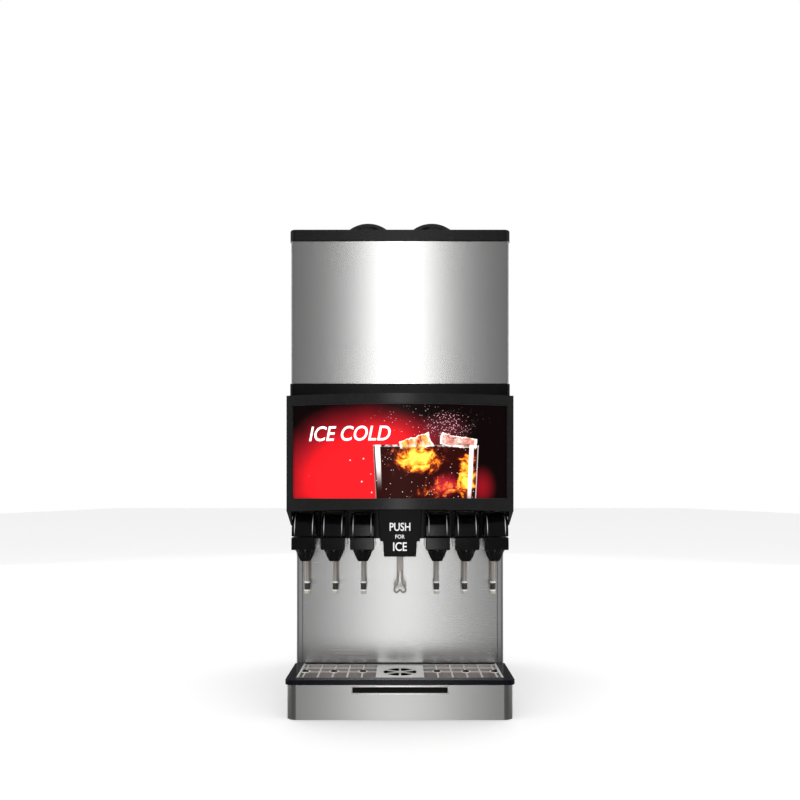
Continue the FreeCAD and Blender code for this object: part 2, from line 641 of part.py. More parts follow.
splash = part(new_body("splash_panel"), "splash_panel")
splash_x = ("-half + column_flange + splash_gap", "half - column_flange - splash_gap")
pad(splash, "splash_sheet", "XZ", ("column_front", "column_front + sheet"),
    rectangle(splash_x, ("base_height + 0.5", "splash_top - 34")))
pad(splash, "splash_foot", "XZ", ("splash_face", "column_front + sheet"),
    rectangle(splash_x, ("base_height + 0.5", "tray_top + splash_hem")))

# ---------------------------------------------------------------- ice bin

skin = part(new_body("hopper_shell"), "hopper_shell")
pad(skin, "skin_block", "XY", ("hopper_bottom", "hopper_top"),
    rounded(("-half", "half"), ("hopper_front", "rear_y"), "hopper_corner", "hopper_corner"))
pocket(skin, "skin_inside", "XY", ("hopper_bottom + sheet", "hopper_top"),
       rounded(("-half + sheet", "half - sheet"), ("hopper_front + sheet", "rear_y - sheet"),
               "hopper_corner - sheet", "hopper_corner - sheet"))
pocket(skin, "skin_floor_opening", "XY", ("hopper_bottom", "hopper_bottom + sheet"),
       rectangle(("-foam_half - fit_gap", "foam_half + fit_gap"),
                 ("foam_front - fit_gap", "foam_rear + fit_gap")))

foam = part(new_body("hopper_foam"), "hopper_foam")
pad(foam, "foam_lower", "YZ", ("-foam_half", "foam_half"),
    rectangle(("foam_front", "foam_rear"), ("frame_top", "foam_over_bottom + 1")))
pad(foam, "foam_upper", "XY", ("foam_over_bottom", "foam_top"),
    rounded(("-foam_half", "foam_half"), ("foam_over_front", "foam_over_rear"), "4", "4"))
pocket(foam, "bin_cavity", "YZ", ("-bin_half", "bin_half"),
       Outline([("bin_front", "bin_floor"), ("bin_rear", "bin_floor"), ("bin_rear", "foam_top"),
                ("bin_over_front", "foam_top"), ("bin_over_front", "shelf_z + shelf_drop"),
                ("bin_front", "shelf_z")]))
pocket(foam, "plate_cavity", "YZ", ("-plate_half", "plate_half"),
       rectangle(("plate_front", "plate_rear"), ("plate_low", "bin_floor")))
pocket(foam, "outlet_passage", "YZ", ("-chute_half - fit_gap", "chute_half + fit_gap"),
       rectangle(("foam_front", "bin_front"), ("outlet_low - 4.5", "outlet_high + 4.5")))
pocket(foam, "motor_passage", "XY", ("frame_top", "plate_low"), Disc("0", "shaft_y", "31"))
front_line_y, rear_line_y = "plate_front + 12", "plate_rear - 20"
pocket(foam, "front_line_passages", "XY", ("frame_top", "plate_low"),
       *[Disc(valve_x(n), front_line_y, "tube_radius + 1") for n in range(1, VALVES + 1)])
pocket(foam, "rear_line_passages", "XY", ("frame_top", "plate_low"),
       *[Disc(f"inlet_first_x + inlet_pitch * {n}", rear_line_y, "inlet_radius + 1")
         for n in range(LINES)])

liner = part(new_body("hopper_liner"), "hopper_liner")
gap = "fit_gap"
pad(liner, "liner_block", "YZ", (f"-bin_half + {gap}", f"bin_half - {gap}"),
    Outline([(f"bin_front + {gap}", "bin_floor"), (f"bin_rear - {gap}", "bin_floor"),
             (f"bin_rear - {gap}", "hopper_top"), (f"bin_over_front + {gap}", "hopper_top"),
             (f"bin_over_front + {gap}", "shelf_z + shelf_drop"), (f"bin_front + {gap}", "shelf_z")]))
pad(liner, "liner_flange", "XY", ("foam_top", "hopper_top"),
    rounded(("-foam_half", "foam_half"), ("foam_over_front + fit_gap", "foam_over_rear - fit_gap"),
            "4", "4"))
thick = "liner_wall + fit_gap"
pocket(liner, "bin_inside", "YZ", (f"-bin_half + {thick}", f"bin_half - {thick}"),
       Outline([(f"bin_front + {thick}", "bin_floor + liner_wall"),
                (f"bin_rear - {thick}", "bin_floor + liner_wall"),
                (f"bin_rear - {thick}", "hopper_top"), (f"bin_over_front + {thick}", "hopper_top"),
                (f"bin_over_front + {thick}", "shelf_z + shelf_drop + 2"),
                (f"bin_front + {thick}", "shelf_z + 2")]))
pocket(liner, "ice_outlet", "XZ", ("bin_front", f"bin_front + {thick}"),
       rectangle(("-outlet_half", "outlet_half"), ("outlet_low", "outlet_high")))
pocket(liner, "shaft_hole", "XY", ("bin_floor", "bin_floor + liner_wall"),
       Disc("0", "shaft_y", "shaft_radius + pin_play"))

part(cut("cold_plate_cut",
         box("cold_plate_block", ("-plate_half + 0.5", "plate_half - 0.5"),
             ("plate_front + 0.5", "plate_rear - 0.5"), ("plate_low", "bin_floor - 0.2")),
         cylinder("cold_plate_hole", "z", ("0", "shaft_y"), "31", ("plate_low - 1", "bin_floor + 1"))),
     "cold_plate")

# agitator and its drive
reach = "arm_reach"
blades = [cylinder("agitator_shaft", "z", ("0", "shaft_y"), "shaft_radius", ("bin_floor - 28", "1000")),
          cylinder("agitator_hub", "z", ("0", "shaft_y"), "22", ("bin_floor + 6", "bin_floor + 60"))]
for tag, height in (("low", "bin_floor + 40"), ("high", "bin_floor + 330")):
    blades.append(cylinder(f"{tag}_arm", "x", ("shaft_y", height), "7", (f"-{reach}", reach)))
blades.append(cylinder("middle_arm", "y", ("0", "bin_floor + 190"), "7",
                       (f"shaft_y - {reach}", f"shaft_y + {reach}")))
for side in (-1, 1):
    blades.append(cylinder(f"finger_{side + 2}", "z", (f"{side} * ({reach} - 15)", "shaft_y"), "6",
                           ("bin_floor + 12", "bin_floor + 110")))
    blades.append(box(f"paddle_{side + 2}", (f"{side} * 95 - 45", f"{side} * 95 + 45"),
                      ("shaft_y - 2", "shaft_y + 2"), ("bin_floor + 10", "bin_floor + 45")))
part(fuse("agitator_solid", *blades), "agitator")

drive = fuse("drive_solid",
             cylinder("drive_motor", "z", ("0", "shaft_y"), "38", ("frame_top - 140", "frame_top - 60")),
             box("drive_gearbox", ("-48", "48"), ("shaft_y - 45", "shaft_y + 45"),
                 ("frame_top - 65", "frame_top - 26")),
             box("drive_flange", ("-48", "48"), ("shaft_y - 70", "shaft_y + 70"),
                 ("frame_top - 26", "frame_top - post - 0.1")),
             cylinder("drive_boss", "z", ("0", "shaft_y"), "25", ("frame_top - 30", "bin_floor - 4")))
part(cut("drive_cut", drive,
         cylinder("drive_socket", "z", ("0", "shaft_y"), "shaft_radius + pin_play",
                  ("bin_floor - 30", "bin_floor"))), "gear_motor")

# ---------------------------------------------------------------- lid

lid = part(new_body("lid"), "lid")
lid_x, lid_y = ("-lid_half", "lid_half"), ("lid_front", "lid_rear")
pad(lid, "lid_block", "XY", ("lid_low", "lid_top"), rounded(lid_x, lid_y, "lid_corner", "lid_corner"))
round_edges(lid, "lid_round", "lid_edge", lambda e: near(e.BoundBox.ZMin, value("lid_top")))
pocket(lid, "lid_inside", "XY", ("lid_low", "lid_top - wall"),
       rounded(("-lid_half + wall", "lid_half - wall"), ("lid_front + wall", "lid_rear - wall"),
               "lid_corner - wall", "lid_corner - wall"))
plug_x = ("-bin_half + liner_wall + 3", "bin_half - liner_wall - 3")
plug_y = ("bin_over_front + liner_wall + 3.5", "bin_rear - liner_wall - 3.5")
pad(lid, "lid_plug_ring", "XY", ("hopper_top - lid_plug", "lid_top - wall + 0.5"),
    rectangle(plug_x, plug_y),
    rectangle((f"{plug_x[0]} + wall", f"{plug_x[1]} - wall"), (f"{plug_y[0]} + wall",
                                                              f"{plug_y[1]} - wall")))

handles = []
handle_y = "lid_front + handle_back"
for side in (-1, 1):
    at, tag = f"{side} * handle_x", ("left", "", "right")[side + 1]
    inner = "(grip_half ^ 2 + grip_rise ^ 2) / (2 * grip_rise)"
    outer = "(handle_half ^ 2 + handle_rise ^ 2) / (2 * handle_rise)"
    strap = new_body(f"{tag}_handle")
    across = (f"{handle_y} - handle_depth / 2", f"{handle_y} + handle_depth / 2")
    pad(strap, f"{tag}_arch", "XZ", across,
        Outline([(f"{at} - handle_half", "lid_top"), (f"{at} - grip_half", "lid_top"),
                 (f"{at} + grip_half", "lid_top"), (f"{at} + handle_half", "lid_top")],
                {1: (inner, -1), 3: (outer, 1)}))
    foot = f"{side} * (handle_x - handle_half + 12)"
    pad(strap, f"{tag}_foot", "XZ", across,
        Outline([(f"{foot} - 20", "lid_top"), (f"{foot} + 20", "lid_top")],
                {1: ("(20 ^ 2 + 9 ^ 2) / 18", 1)}))
    handles.append(strap)
part(group("lid_handles_group", handles), "lid_handles")

brackets, leaves, pins = [], [], []
for side in (-1, 1):
    at, tag = f"{side} * hinge_x", ("left", "", "right")[side + 1]
    third = "hinge_half / 3"
    pieces = [box(f"{tag}_hinge_plate", (f"{at} - hinge_half", f"{at} + hinge_half"),
                  ("rear_y", "rear_y + 2"), ("hopper_top - 55", "hopper_top - 2"))]
    for end, span in ((1, (f"{at} - hinge_half", f"{at} - {third} - 0.3")),
                      (2, (f"{at} + {third} + 0.3", f"{at} + hinge_half"))):
        pieces.append(box(f"{tag}_hinge_arm_{end}", span, ("rear_y", "hinge_y + 3"),
                          ("hopper_top - 12", "hinge_z - 7.5")))
        pieces.append(box(f"{tag}_hinge_web_{end}", span, ("hinge_y - 3", "hinge_y + 3"),
                          ("hopper_top - 12", "hinge_z")))
        pieces.append(cylinder(f"{tag}_hinge_knuckle_{end}", "x", ("hinge_y", "hinge_z"), "knuckle",
                               span))
    brackets.append(cut(f"{tag}_bracket", fuse(f"{tag}_bracket_solid", *pieces),
                        cylinder(f"{tag}_bracket_bore", "x", ("hinge_y", "hinge_z"), "pin_hole",
                                 (f"{at} - 30", f"{at} + 30"))))
    leaf = fuse(f"{tag}_leaf_solid",
                cylinder(f"{tag}_leaf_knuckle", "x", ("hinge_y", "hinge_z"), "knuckle",
                         (f"{at} - {third}", f"{at} + {third}")),
                box(f"{tag}_leaf_neck", (f"{at} - {third}", f"{at} + {third}"),
                    ("lid_rear", "hinge_y - knuckle + 1"), ("hinge_z - 3", "lid_low + 16")),
                box(f"{tag}_leaf_plate", (f"{at} - hinge_half", f"{at} + hinge_half"),
                    ("lid_rear", "lid_rear + 1.6"), ("lid_low + 14.5", "lid_low + 24")))
    leaves.append(cut(f"{tag}_leaf", leaf,
                      cylinder(f"{tag}_leaf_bore", "x", ("hinge_y", "hinge_z"), "pin_hole",
                               (f"{at} - 30", f"{at} + 30"))))
    pins.append(cylinder(f"{tag}_hinge_pin", "x", ("hinge_y", "hinge_z"), "pin_radius",
                         (f"{at} - hinge_half - 1", f"{at} + hinge_half + 1")))
part(group("hinge_brackets_group", brackets), "hinge_brackets")
part(group("hinge_leaves_group", leaves), "hinge_leaves")

# ---------------------------------------------------------------- trim band, bezel and display

band = part(new_body("trim_band"), "trim_band")
pad(band, "band_block", "XY", ("band_bottom", "hopper_bottom - 0.5"),
    rounded(("-half - lid_lip", "half + lid_lip"), ("hopper_front - 5", "hopper_front + 22"), "12", "0.1"))
pocket(band, "band_inside", "XY", ("band_bottom", "hopper_bottom - 0.5"),
       rectangle(("-half - 0.4", "half + 0.4"), ("hopper_front - 0.4", "hopper_front + 30")))
pocket(band, "band_screw_holes", "XZ", ("hopper_front - 5", "hopper_front"),
       *[Disc(f"{side} * band_screw_x", "band_screw_z", "screw_shank + 0.3") for side in (-1, 1)])
screws = []
for side in (-1, 1):
    tag = ("left", "", "right")[side + 1]
    solid = fuse(f"{tag}_screw_solid",
                 cylinder(f"{tag}_screw_head", "y", (f"{side} * band_screw_x", "band_screw_z"),
                          "screw_head", ("hopper_front - 7.5", "hopper_front - 5")),
                 cylinder(f"{tag}_screw_shank", "y", (f"{side} * band_screw_x", "band_screw_z"),
                          "screw_shank", ("hopper_front - 5", "hopper_front + 8")))
    screws.append(cut(f"{tag}_screw", solid,
                      cylinder(f"{tag}_screw_socket", "y", (f"{side} * band_screw_x", "band_screw_z"),
                               "1.8", ("hopper_front - 8", "hopper_front - 5.5"))))
part(group("trim_screws_group", screws), "trim_screws")


def bow(half_width, inset):
    """How far back the bezel's face, moved in by an inset, stands at a half width."""
    return f"bezel_centre - sqrt((bezel_radius - ({inset})) ^ 2 - ({half_width}) ^ 2)"


bezel = part(new_body("bezel"), "bezel")
pad(bezel, "bezel_block", "XY", ("bezel_low", "bezel_high"),
    Outline([("-bezel_half", "bezel_ends"), ("bezel_half", "bezel_ends"),
             ("bezel_half", "bezel_rear - 0.5"), ("-bezel_half", "bezel_rear - 0.5")],
            {0: ("bezel_radius", 1)}))
cavity = "bezel_half - bezel_rim"
pocket(bezel, "bezel_inside", "XY", ("bezel_low + bezel_arch + bezel_rim", "bezel_high - bezel_rim"),
       Outline([(f"-({cavity})", bow(cavity, "bezel_front - 4")), (cavity, bow(cavity, "bezel_front - 4")),
                (cavity, "bezel_rear + 5"), (f"-({cavity})", "bezel_rear + 5")],
               {0: ("bezel_radius - (bezel_front - 4)", 1)}))
pocket(bezel, "bezel_window", "XZ", ("bezel_middle - 1", "bezel_ends + 15"),
       rectangle(("-window_half", "window_half"), ("window_low", "window_high")))
pocket(bezel, "bezel_underside", "XZ", ("bezel_middle - 1", "bezel_rear + 5"),
       Outline([("-bezel_half", "bezel_low"), ("bezel_half", "bezel_low")], {1: ("arch_radius", 1)}))

chins = []
for side in (-1, 1):
    outer, inner, high = f"{side} * bezel_half", f"{side} * (cover_reach)", "bezel_low + 0.5"
    tip = (inner, "bezel_low - 35")
    corners = [(outer, high), (inner, high), tip] if side < 0 else [tip, (outer, high), (inner, high)]
    chins.append(Outline(corners))
pad(bezel, "bezel_chins", "XZ", ("bezel_ends + 3", "bezel_rear - 0.5"), *chins)

display = part(new_body("display_panel"), "display_panel")
lap = "window_half + display_lap"
front_in, back_in = "display_inset + 0.3", "display_inset + 0.3 + display_sheet"
pad(display, "display_sheet_pad", "XY", ("window_low - display_lap", "window_high + display_lap"),
    Outline([(f"-({lap})", bow(lap, front_in)), (lap, bow(lap, front_in)), (lap, bow(lap, back_in)),
             (f"-({lap})", bow(lap, back_in))],
            {0: (f"bezel_radius - ({front_in})", 1), 2: (f"bezel_radius - ({back_in})", -1)}))

box_rear = "hopper_front + 17"
box_x, box_y = ("-housing_half", "housing_half"), ("bezel_ends + 7.5", box_rear)
box_z = ("bezel_low + bezel_arch + bezel_rim + 2", "housing_high")
part(cut("light_box_cut", box("light_box_block", box_x, box_y, box_z),
         box("light_box_inside", ("-housing_half + housing_wall", "housing_half - housing_wall"),
             (f"{box_y[0]} - 1", f"{box_rear} - housing_wall"),
             (f"{box_z[0]} + housing_wall", "housing_high - housing_wall"))), "light_box")
part(group("led_strips_group",
           [box(f"led_strip_{n + 1}", ("-housing_half + 30", "housing_half - 30"),
                (f"{box_rear} - housing_wall - 3", f"{box_rear} - housing_wall"),
                (f"{box_z[0]} + 30 + 62 * {n}", f"{box_z[0]} + 42 + 62 * {n}")) for n in range(4)]),
     "led_strips")

# ---------------------------------------------------------------- valves

part(box("valve_panel_sheet", splash_x, ("panel_front + 4.5", "panel_front + 6.5"),
         ("panel_low", "cover_top")), "valve_panel")
panel_face = "panel_front + 4.5"
mounts = []
for n in range(1, VALVES + 1):
    x = valve_x(n)
    mounts.append(box(f"valve_mount_{n}", (f"{x} - 22", f"{x} + 22"), (f"{panel_face} - 26", panel_face),
                      ("cover_top - 55", "cover_top - 12")))
part(group("valve_mounts_group", mounts), "valve_mounts")

for n in range(1, VALVES + 1):
    x = valve_x(n)
    ears = []
    for end, side in ((1, -1), (2, 1)):
        ears.append(cut(f"valve_{n}_ear_{end}",
                        box(f"valve_{n}_ear_block_{end}",
                            (f"{x} + {side} * 11.2 - 2", f"{x} + {side} * 11.2 + 2"),
                            ("lever_y - 9", "lever_y + 9"), ("lever_pivot_z - 8", "cover_top - 58")),
                        cylinder(f"valve_{n}_ear_bore_{end}", "x", ("lever_y", "lever_pivot_z"),
                                 "pin_hole", (f"{x} - 20", f"{x} + 20"))))
    solid = fuse(f"valve_{n}_body_solid",
                 box(f"valve_{n}_block", (f"{x} - valve_half", f"{x} + valve_half"),
                     ("cover_front + cover_bulge", f"{panel_face} - 26"),
                     ("cover_top - 60", "cover_top - 10")),
                 box(f"valve_{n}_front_block", (f"{x} - valve_half", f"{x} + valve_half"),
                     ("cover_front + 12", "cover_front + cover_bulge"),
                     ("cover_top - 60", "cover_top - 32")),
                 cylinder(f"valve_{n}_collar", "z", (x, "nozzle_y"), "collar_radius",
                          ("cover_bottom - 10", "cover_top - 59")), *ears)
    part(cut(f"valve_{n}_body_cut", solid,
             cylinder(f"valve_{n}_flow", "z", (x, "nozzle_y"), "8",
                      ("cover_bottom - 11", "cover_top - 30"))), f"valve_{n}_body")

    side_view = new_body(f"valve_{n}_cover_side")
    front, back, crown = "cover_front", "cover_front + 98", "cover_bulge"
    pad(side_view, f"valve_{n}_cover_profile", "YZ", (f"{x} - cover_half", f"{x} + cover_half"),
        Outline([(f"{front} - 1.5", "cover_bottom"), (back, "cover_bottom"), (back, "cover_top"),
                 (f"{front} + {crown}", "cover_top"), (front, f"cover_top - {crown}"),
                 (front, "cover_split + 0.8"), (f"{front} + 1.2", "cover_split + 0.8"),
                 (f"{front} + 1.2", "cover_split - 0.8"), (front, "cover_split - 0.8")],
                {3: (crown, 1)}))
    plan_view = new_body(f"valve_{n}_cover_plan")
    pad(plan_view, f"valve_{n}_cover_outline", "XY", ("cover_bottom - 1", "cover_top + 1"),
        rounded((f"{x} - cover_half", f"{x} + cover_half"), (f"{front} - 1.6", back), "cover_round", "0.5"))
    hollow = new_body(f"valve_{n}_cover_hollow")
    pad(hollow, f"valve_{n}_cover_inside", "YZ", (f"{x} - cover_half + wall", f"{x} + cover_half - wall"),
        Outline([(f"{front} + wall + 1.2", "cover_bottom - 1"), (f"{back} + 1", "cover_bottom - 1"),
                 (f"{back} + 1", "cover_top - wall"), (f"{front} + {crown}", "cover_top - wall"),
                 (f"{front} + wall + 1.2", f"cover_top - {crown} + 1.8")]))
    shape = doc.addObject("Part::MultiCommon", f"valve_{n}_cover_solid")
    shape.Shapes = [side_view, plan_view]
    part(cut(f"valve_{n}_cover_cut", shape, hollow), f"valve_{n}_cover")

    cone = doc.addObject("Part::Cone", f"valve_{n}_cone")
    bind(cone, Radius1="nozzle_tip_radius", Radius2="nozzle_top_radius - 0.5",
         Height="cover_bottom - 5 - nozzle_bottom", x=x, y="nozzle_y", z="nozzle_bottom")
    funnel = doc.addObject("Part::Cone", f"valve_{n}_funnel")
    bind(funnel, Radius1="nozzle_bore", Radius2="nozzle_bore + 7",
         Height="cover_bottom - 11 - nozzle_bottom", x=x, y="nozzle_y", z="nozzle_bottom")
    part(cut(f"valve_{n}_nozzle_cut",
             fuse(f"valve_{n}_nozzle_solid", cone,
                  cylinder(f"valve_{n}_rim", "z", (x, "nozzle_y"), "nozzle_top_radius",
                           ("cover_bottom - 5", "cover_bottom - 1"))),
             fuse(f"valve_{n}_nozzle_inside", funnel,
                  cylinder(f"valve_{n}_socket", "z", (x, "nozzle_y"), "collar_radius + 0.3",
                           ("cover_bottom - 11", "cover_bottom + 1")))), f"valve_{n}_nozzle")

    lever = fuse(f"valve_{n}_lever_solid",
                 cylinder(f"valve_{n}_hub", "x", ("lever_y", "lever_pivot_z"), "hub_radius",
                          (f"{x} - 8.8", f"{x} + 8.8")),
                 cylinder(f"valve_{n}_stem", "z", (x, "lever_y"), "lever_radius",
                          ("lever_tip + 4", "lever_pivot_z - 2")),
                 cylinder(f"valve_{n}_sleeve", "z", (x, "lever_y"), "lever_radius + 1",
                          ("lever_tip", "lever_tip + 30")))
    part(cut(f"valve_{n}_lever_cut", lever,
             cylinder(f"valve_{n}_lever_bore", "x", ("lever_y", "lever_pivot_z"), "pin_hole",
                      (f"{x} - 20", f"{x} + 20"))), f"valve_{n}_lever")
    pins.append(cylinder(f"valve_{n}_pin", "x", ("lever_y", "lever_pivot_z"), "pin_radius",
                         (f"{x} - 14", f"{x} + 14")))

# ---------------------------------------------------------------- ice chute, gate, shroud and lever

shroud = part(new_body("ice_chute_shroud"), "ice_chute_shroud")
halves = [("shroud_low_half", "shroud_bottom"), ("shroud_low_half + 2", "shroud_step"),
          ("shroud_step_half", "shroud_step"), ("shroud_top_half", "cover_top + 6")]


def shroud_outline(inset, low, high):
    right = [(f"{u} - ({inset})", v) for u, v in halves]
    right[0] = (right[0][0], low)
    right[3] = (right[3][0], high)
    right[2] = (right[2][0], f"shroud_step + {inset}")
    right[1] = (right[1][0], f"shroud_step + {inset}")
    return Outline(right + [(f"-({u})", v) for u, v in reversed(right)])


pad(shroud, "shroud_block", "XZ", ("shroud_front", panel_face), shroud_outline("0", "shroud_bottom",
                                                                              "cover_top + 6"))
pocket(shroud, "shroud_inside", "XZ", ("shroud_front + wall", panel_face),
       shroud_outline("wall", "shroud_bottom", "cover_top + 6"))
round_edges(shroud, "shroud_round", "2", lambda e: near(e.BoundBox.YMin, value("shroud_front")) and near(
    e.BoundBox.YMax, value("shroud_front")) and e.BoundBox.ZLength > 20)

chute = new_body("ice_chute_walls")
mouth_front, mouth_back = "shroud_front + 8", "shroud_front + 64"
neck_rear, neck_low, neck_high = "bin_front - 0.3", "outlet_low - 4", "outlet_high + 4"
fall_front, bend_z = "column_front - 79", "bezel_low + 14"


def chute_outline(w):
    """The chute's side view, moved in by w, with the ends left open when w is not 0."""
    return Outline([(f"{mouth_front} + {w}", f"chute_mouth - ({w}) / 2"),
                    (f"{mouth_back} - {w}", f"chute_mouth - ({w}) / 2"),
                    (f"column_front - 30 - {w}", f"{bend_z} - 4"), (f"column_front - 2 - {w}", f"{neck_low} + {w}"),
                    (f"{neck_rear} + {w} / 2", f"{neck_low} + {w}"),
                    (f"{neck_rear} + {w} / 2", f"{neck_high} - {w}"),
                    (f"column_front - 2 - {w}", f"{neck_high} - {w}"),
                    (f"column_front - 2 - {w}", f"outlet_high + 19 - {w}"),
                    (f"{fall_front} + {w}", f"outlet_high + 19 - {w}"), (f"{fall_front} + {w}", bend_z)])


pad(chute, "chute_block", "YZ", ("-chute_half", "chute_half"), chute_outline("0"))
ear_z = ("ice_pivot_z - 8", "ice_pivot_z + 8")
for tag, side in (("left_ear", -1), ("right_ear", 1)):
    pad(chute, tag, "YZ", (f"{side} * 11.5 - 2", f"{side} * 11.5 + 2"),
        rectangle(("ice_lever_y - 14", "ice_lever_y + 8"), ear_z))
pocket(chute, "chute_inside", "YZ", ("-chute_half + chute_wall", "chute_half - chute_wall"),
       chute_outline("chute_wall"))
pocket(chute, "ear_bore", "YZ", ("-20", "20"), Disc("ice_lever_y", "ice_pivot_z", "pin_hole"))
pocket(chute, "gate_bore", "YZ", ("-chute_half", "chute_half"),
       Disc("column_front - 11", "gate_pivot_z + 3", "pin_hole"))
part(chute, "ice_chute")

gate_axis = ("column_front - 11", "gate_pivot_z + 3")
gate_x = ("-chute_half + chute_wall + 0.6", "chute_half - chute_wall - 0.6")
flap = fuse("gate_solid", cylinder("gate_hub", "x", gate_axis, "5", gate_x),
            box("gate_flap", gate_x, (f"{gate_axis[0]} - 1.5", f"{gate_axis[0]} + 1.5"),
                ("outlet_low", gate_axis[1])))
part(cut("gate_cut", flap, cylinder("gate_hub_bore", "x", gate_axis, "pin_hole", ("-40", "40"))),
     "ice_gate")
pins.append(cylinder("gate_pin", "x", gate_axis, "pin_radius", ("-chute_half - 1", "chute_half + 1")))
pins.append(cylinder("ice_lever_pin", "x", ("ice_lever_y", "ice_pivot_z"), "pin_radius", ("-14.5", "14.5")))
part(group("pivot_pins_group", pins), "pivot_pins")

# The wire drops from the plate, swings out through an S-bend on each side and closes in a half round.
loop_half, leg_half = "18 - ice_wire", "ice_plate_half - ice_wire"
loop_z, swing_z, leg_top = f"lever_tip + ice_wire + {loop_half}", "lever_tip + 34", "lever_tip + 62"
middle_x, middle_z = f"({loop_half} + {leg_half}) / 2", f"({loop_z} + {swing_z}) / 2"
swing = (f"(({loop_half} - ({leg_half})) ^ 2 + ({swing_z} - ({loop_z})) ^ 2)"
         f" / (4 * ({loop_half} - ({leg_half})))")
right = [(leg_half, leg_top), (leg_half, swing_z), (middle_x, middle_z), (loop_half, loop_z)]
wire_path = right + [("0", "lever_tip + ice_wire")] + [(f"-({u})", v) for u, v in reversed(right)]
wire = pipe("ice_wire_loop", "ice_wire", "XZ", "ice_lever_y",
            Outline(wire_path, {1: (swing, 1), 2: (swing, -1), 3: (loop_half, -1), 4: (loop_half, -1),
                                5: (swing, -1), 6: (swing, 1)}, closed=False),
            "XY", (leg_half, "ice_lever_y", leg_top))
arm = fuse("ice_lever_solid", wire,
           box("ice_lever_plate", ("-ice_plate_half", "ice_plate_half"),
               ("ice_lever_y - 2", "ice_lever_y + 2"), ("lever_tip + 58", "ice_pivot_z")),
           cylinder("ice_lever_hub", "x", ("ice_lever_y", "ice_pivot_z"), "hub_radius", ("-9", "9")))
part(cut("ice_lever_cut", arm,
         cylinder("ice_lever_bore", "x", ("ice_lever_y", "ice_pivot_z"), "pin_hole", ("-20", "20"))),
     "ice_lever")

# ---------------------------------------------------------------- drink lines and controls

bend = "20"
lines = []
mount_z = "cover_top - 34"
for n in range(1, VALVES + 1):
    path = Outline([(front_line_y, "plate_low"), (front_line_y, f"{mount_z} + {bend}"),
                    (f"{front_line_y} - {bend}", mount_z), (f"{panel_face} + 2.2", mount_z)],
                   {1: (bend, -1)}, closed=False)
    lines.append(pipe(f"drink_line_{n}", "tube_radius", "YZ", valve_x(n), path,
                      "XY", (valve_x(n), front_line_y, "plate_low")))
for n in range(LINES):
    x = f"inlet_first_x + inlet_pitch * {n}"
    path = Outline([("rear_y + rear_stub", "inlet_z"), (f"{rear_line_y} + {bend}", "inlet_z"),
                    (rear_line_y, f"inlet_z + {bend}"), (rear_line_y, "plate_low")],
                   {1: (bend, -1)}, closed=False)
    tube = pipe(f"inlet_line_{n + 1}", "inlet_radius", "YZ", x, path,
                "XZ", (x, "inlet_z", "rear_y + rear_stub"))
    lines.append(fuse(f"inlet_{n + 1}", tube,
                      cylinder(f"inlet_stub_{n + 1}", "y", (x, "inlet_z"), "inlet_stub_radius",
                               ("rear_y - 10", "rear_y + rear_stub - 1")),
                      cylinder(f"inlet_collar_{n + 1}", "y", (x, "inlet_z"), "inlet_stub_radius + 4",
                               ("rear_y", "rear_y + 3"))))
part(group("drink_lines_group", lines), "drink_lines")

part(fuse("control_box_solid",
          cut("control_box_shell", box("control_box_block", ("120", "240"), ("226", "rear_y - 4"),
                                       ("185", "390")),
              box("control_box_inside", ("122", "238"), ("228", "rear_y - 6"), ("187", "388"))),
          box("power_inlet", ("201", "229"), ("rear_y - 7", "rear_y + 4"), ("201", "221"))), "control_box")

# ---------------------------------------------------------------- checks and export

doc.recompute()
faults = []
for item in doc.Objects:
    if any(word in item.State for word in ("Invalid", "Error")):
        faults.append(f"{item.Name} ({item.Label}): {item.State} {item.getStatusString()}")
for item in PARTS:
    if item.Shape.isNull() or not item.Shape.isValid() or not item.Shape.Solids:
        faults.append(f"{item.Label}: empty or not valid")
if faults:
    raise SystemExit("not written:\n" + "\n".join(faults))

os.makedirs("parts", exist_ok=True)
for item in PARTS:
    item.Shape.exportStep(f"parts/{item.Label}.step")
    room = item.Shape.BoundBox
    print(f"{item.Label}: {len(item.Shape.Solids)} solid(s), x {room.XMin:.1f} {room.XMax:.1f}, "
          f"y {room.YMin:.1f} {room.YMax:.1f}, z {room.ZMin:.1f} {room.ZMax:.1f}")
print(f"{len(PARTS)} parts written")
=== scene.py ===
# %% [markdown]
# # A countertop soda and ice dispenser
# The machine is a stainless cabinet with a row of six drink valves, an ice chute in the middle, a bowed
# display lit from behind, an ice bin with a black lid on top and a drip tray at its foot. The packed
# model already holds every working part at its true size. This lesson gives the parts their finishes
# and adds what a solid model leaves out: artwork, lettering, polished edges and turned lever sleeves.

import math

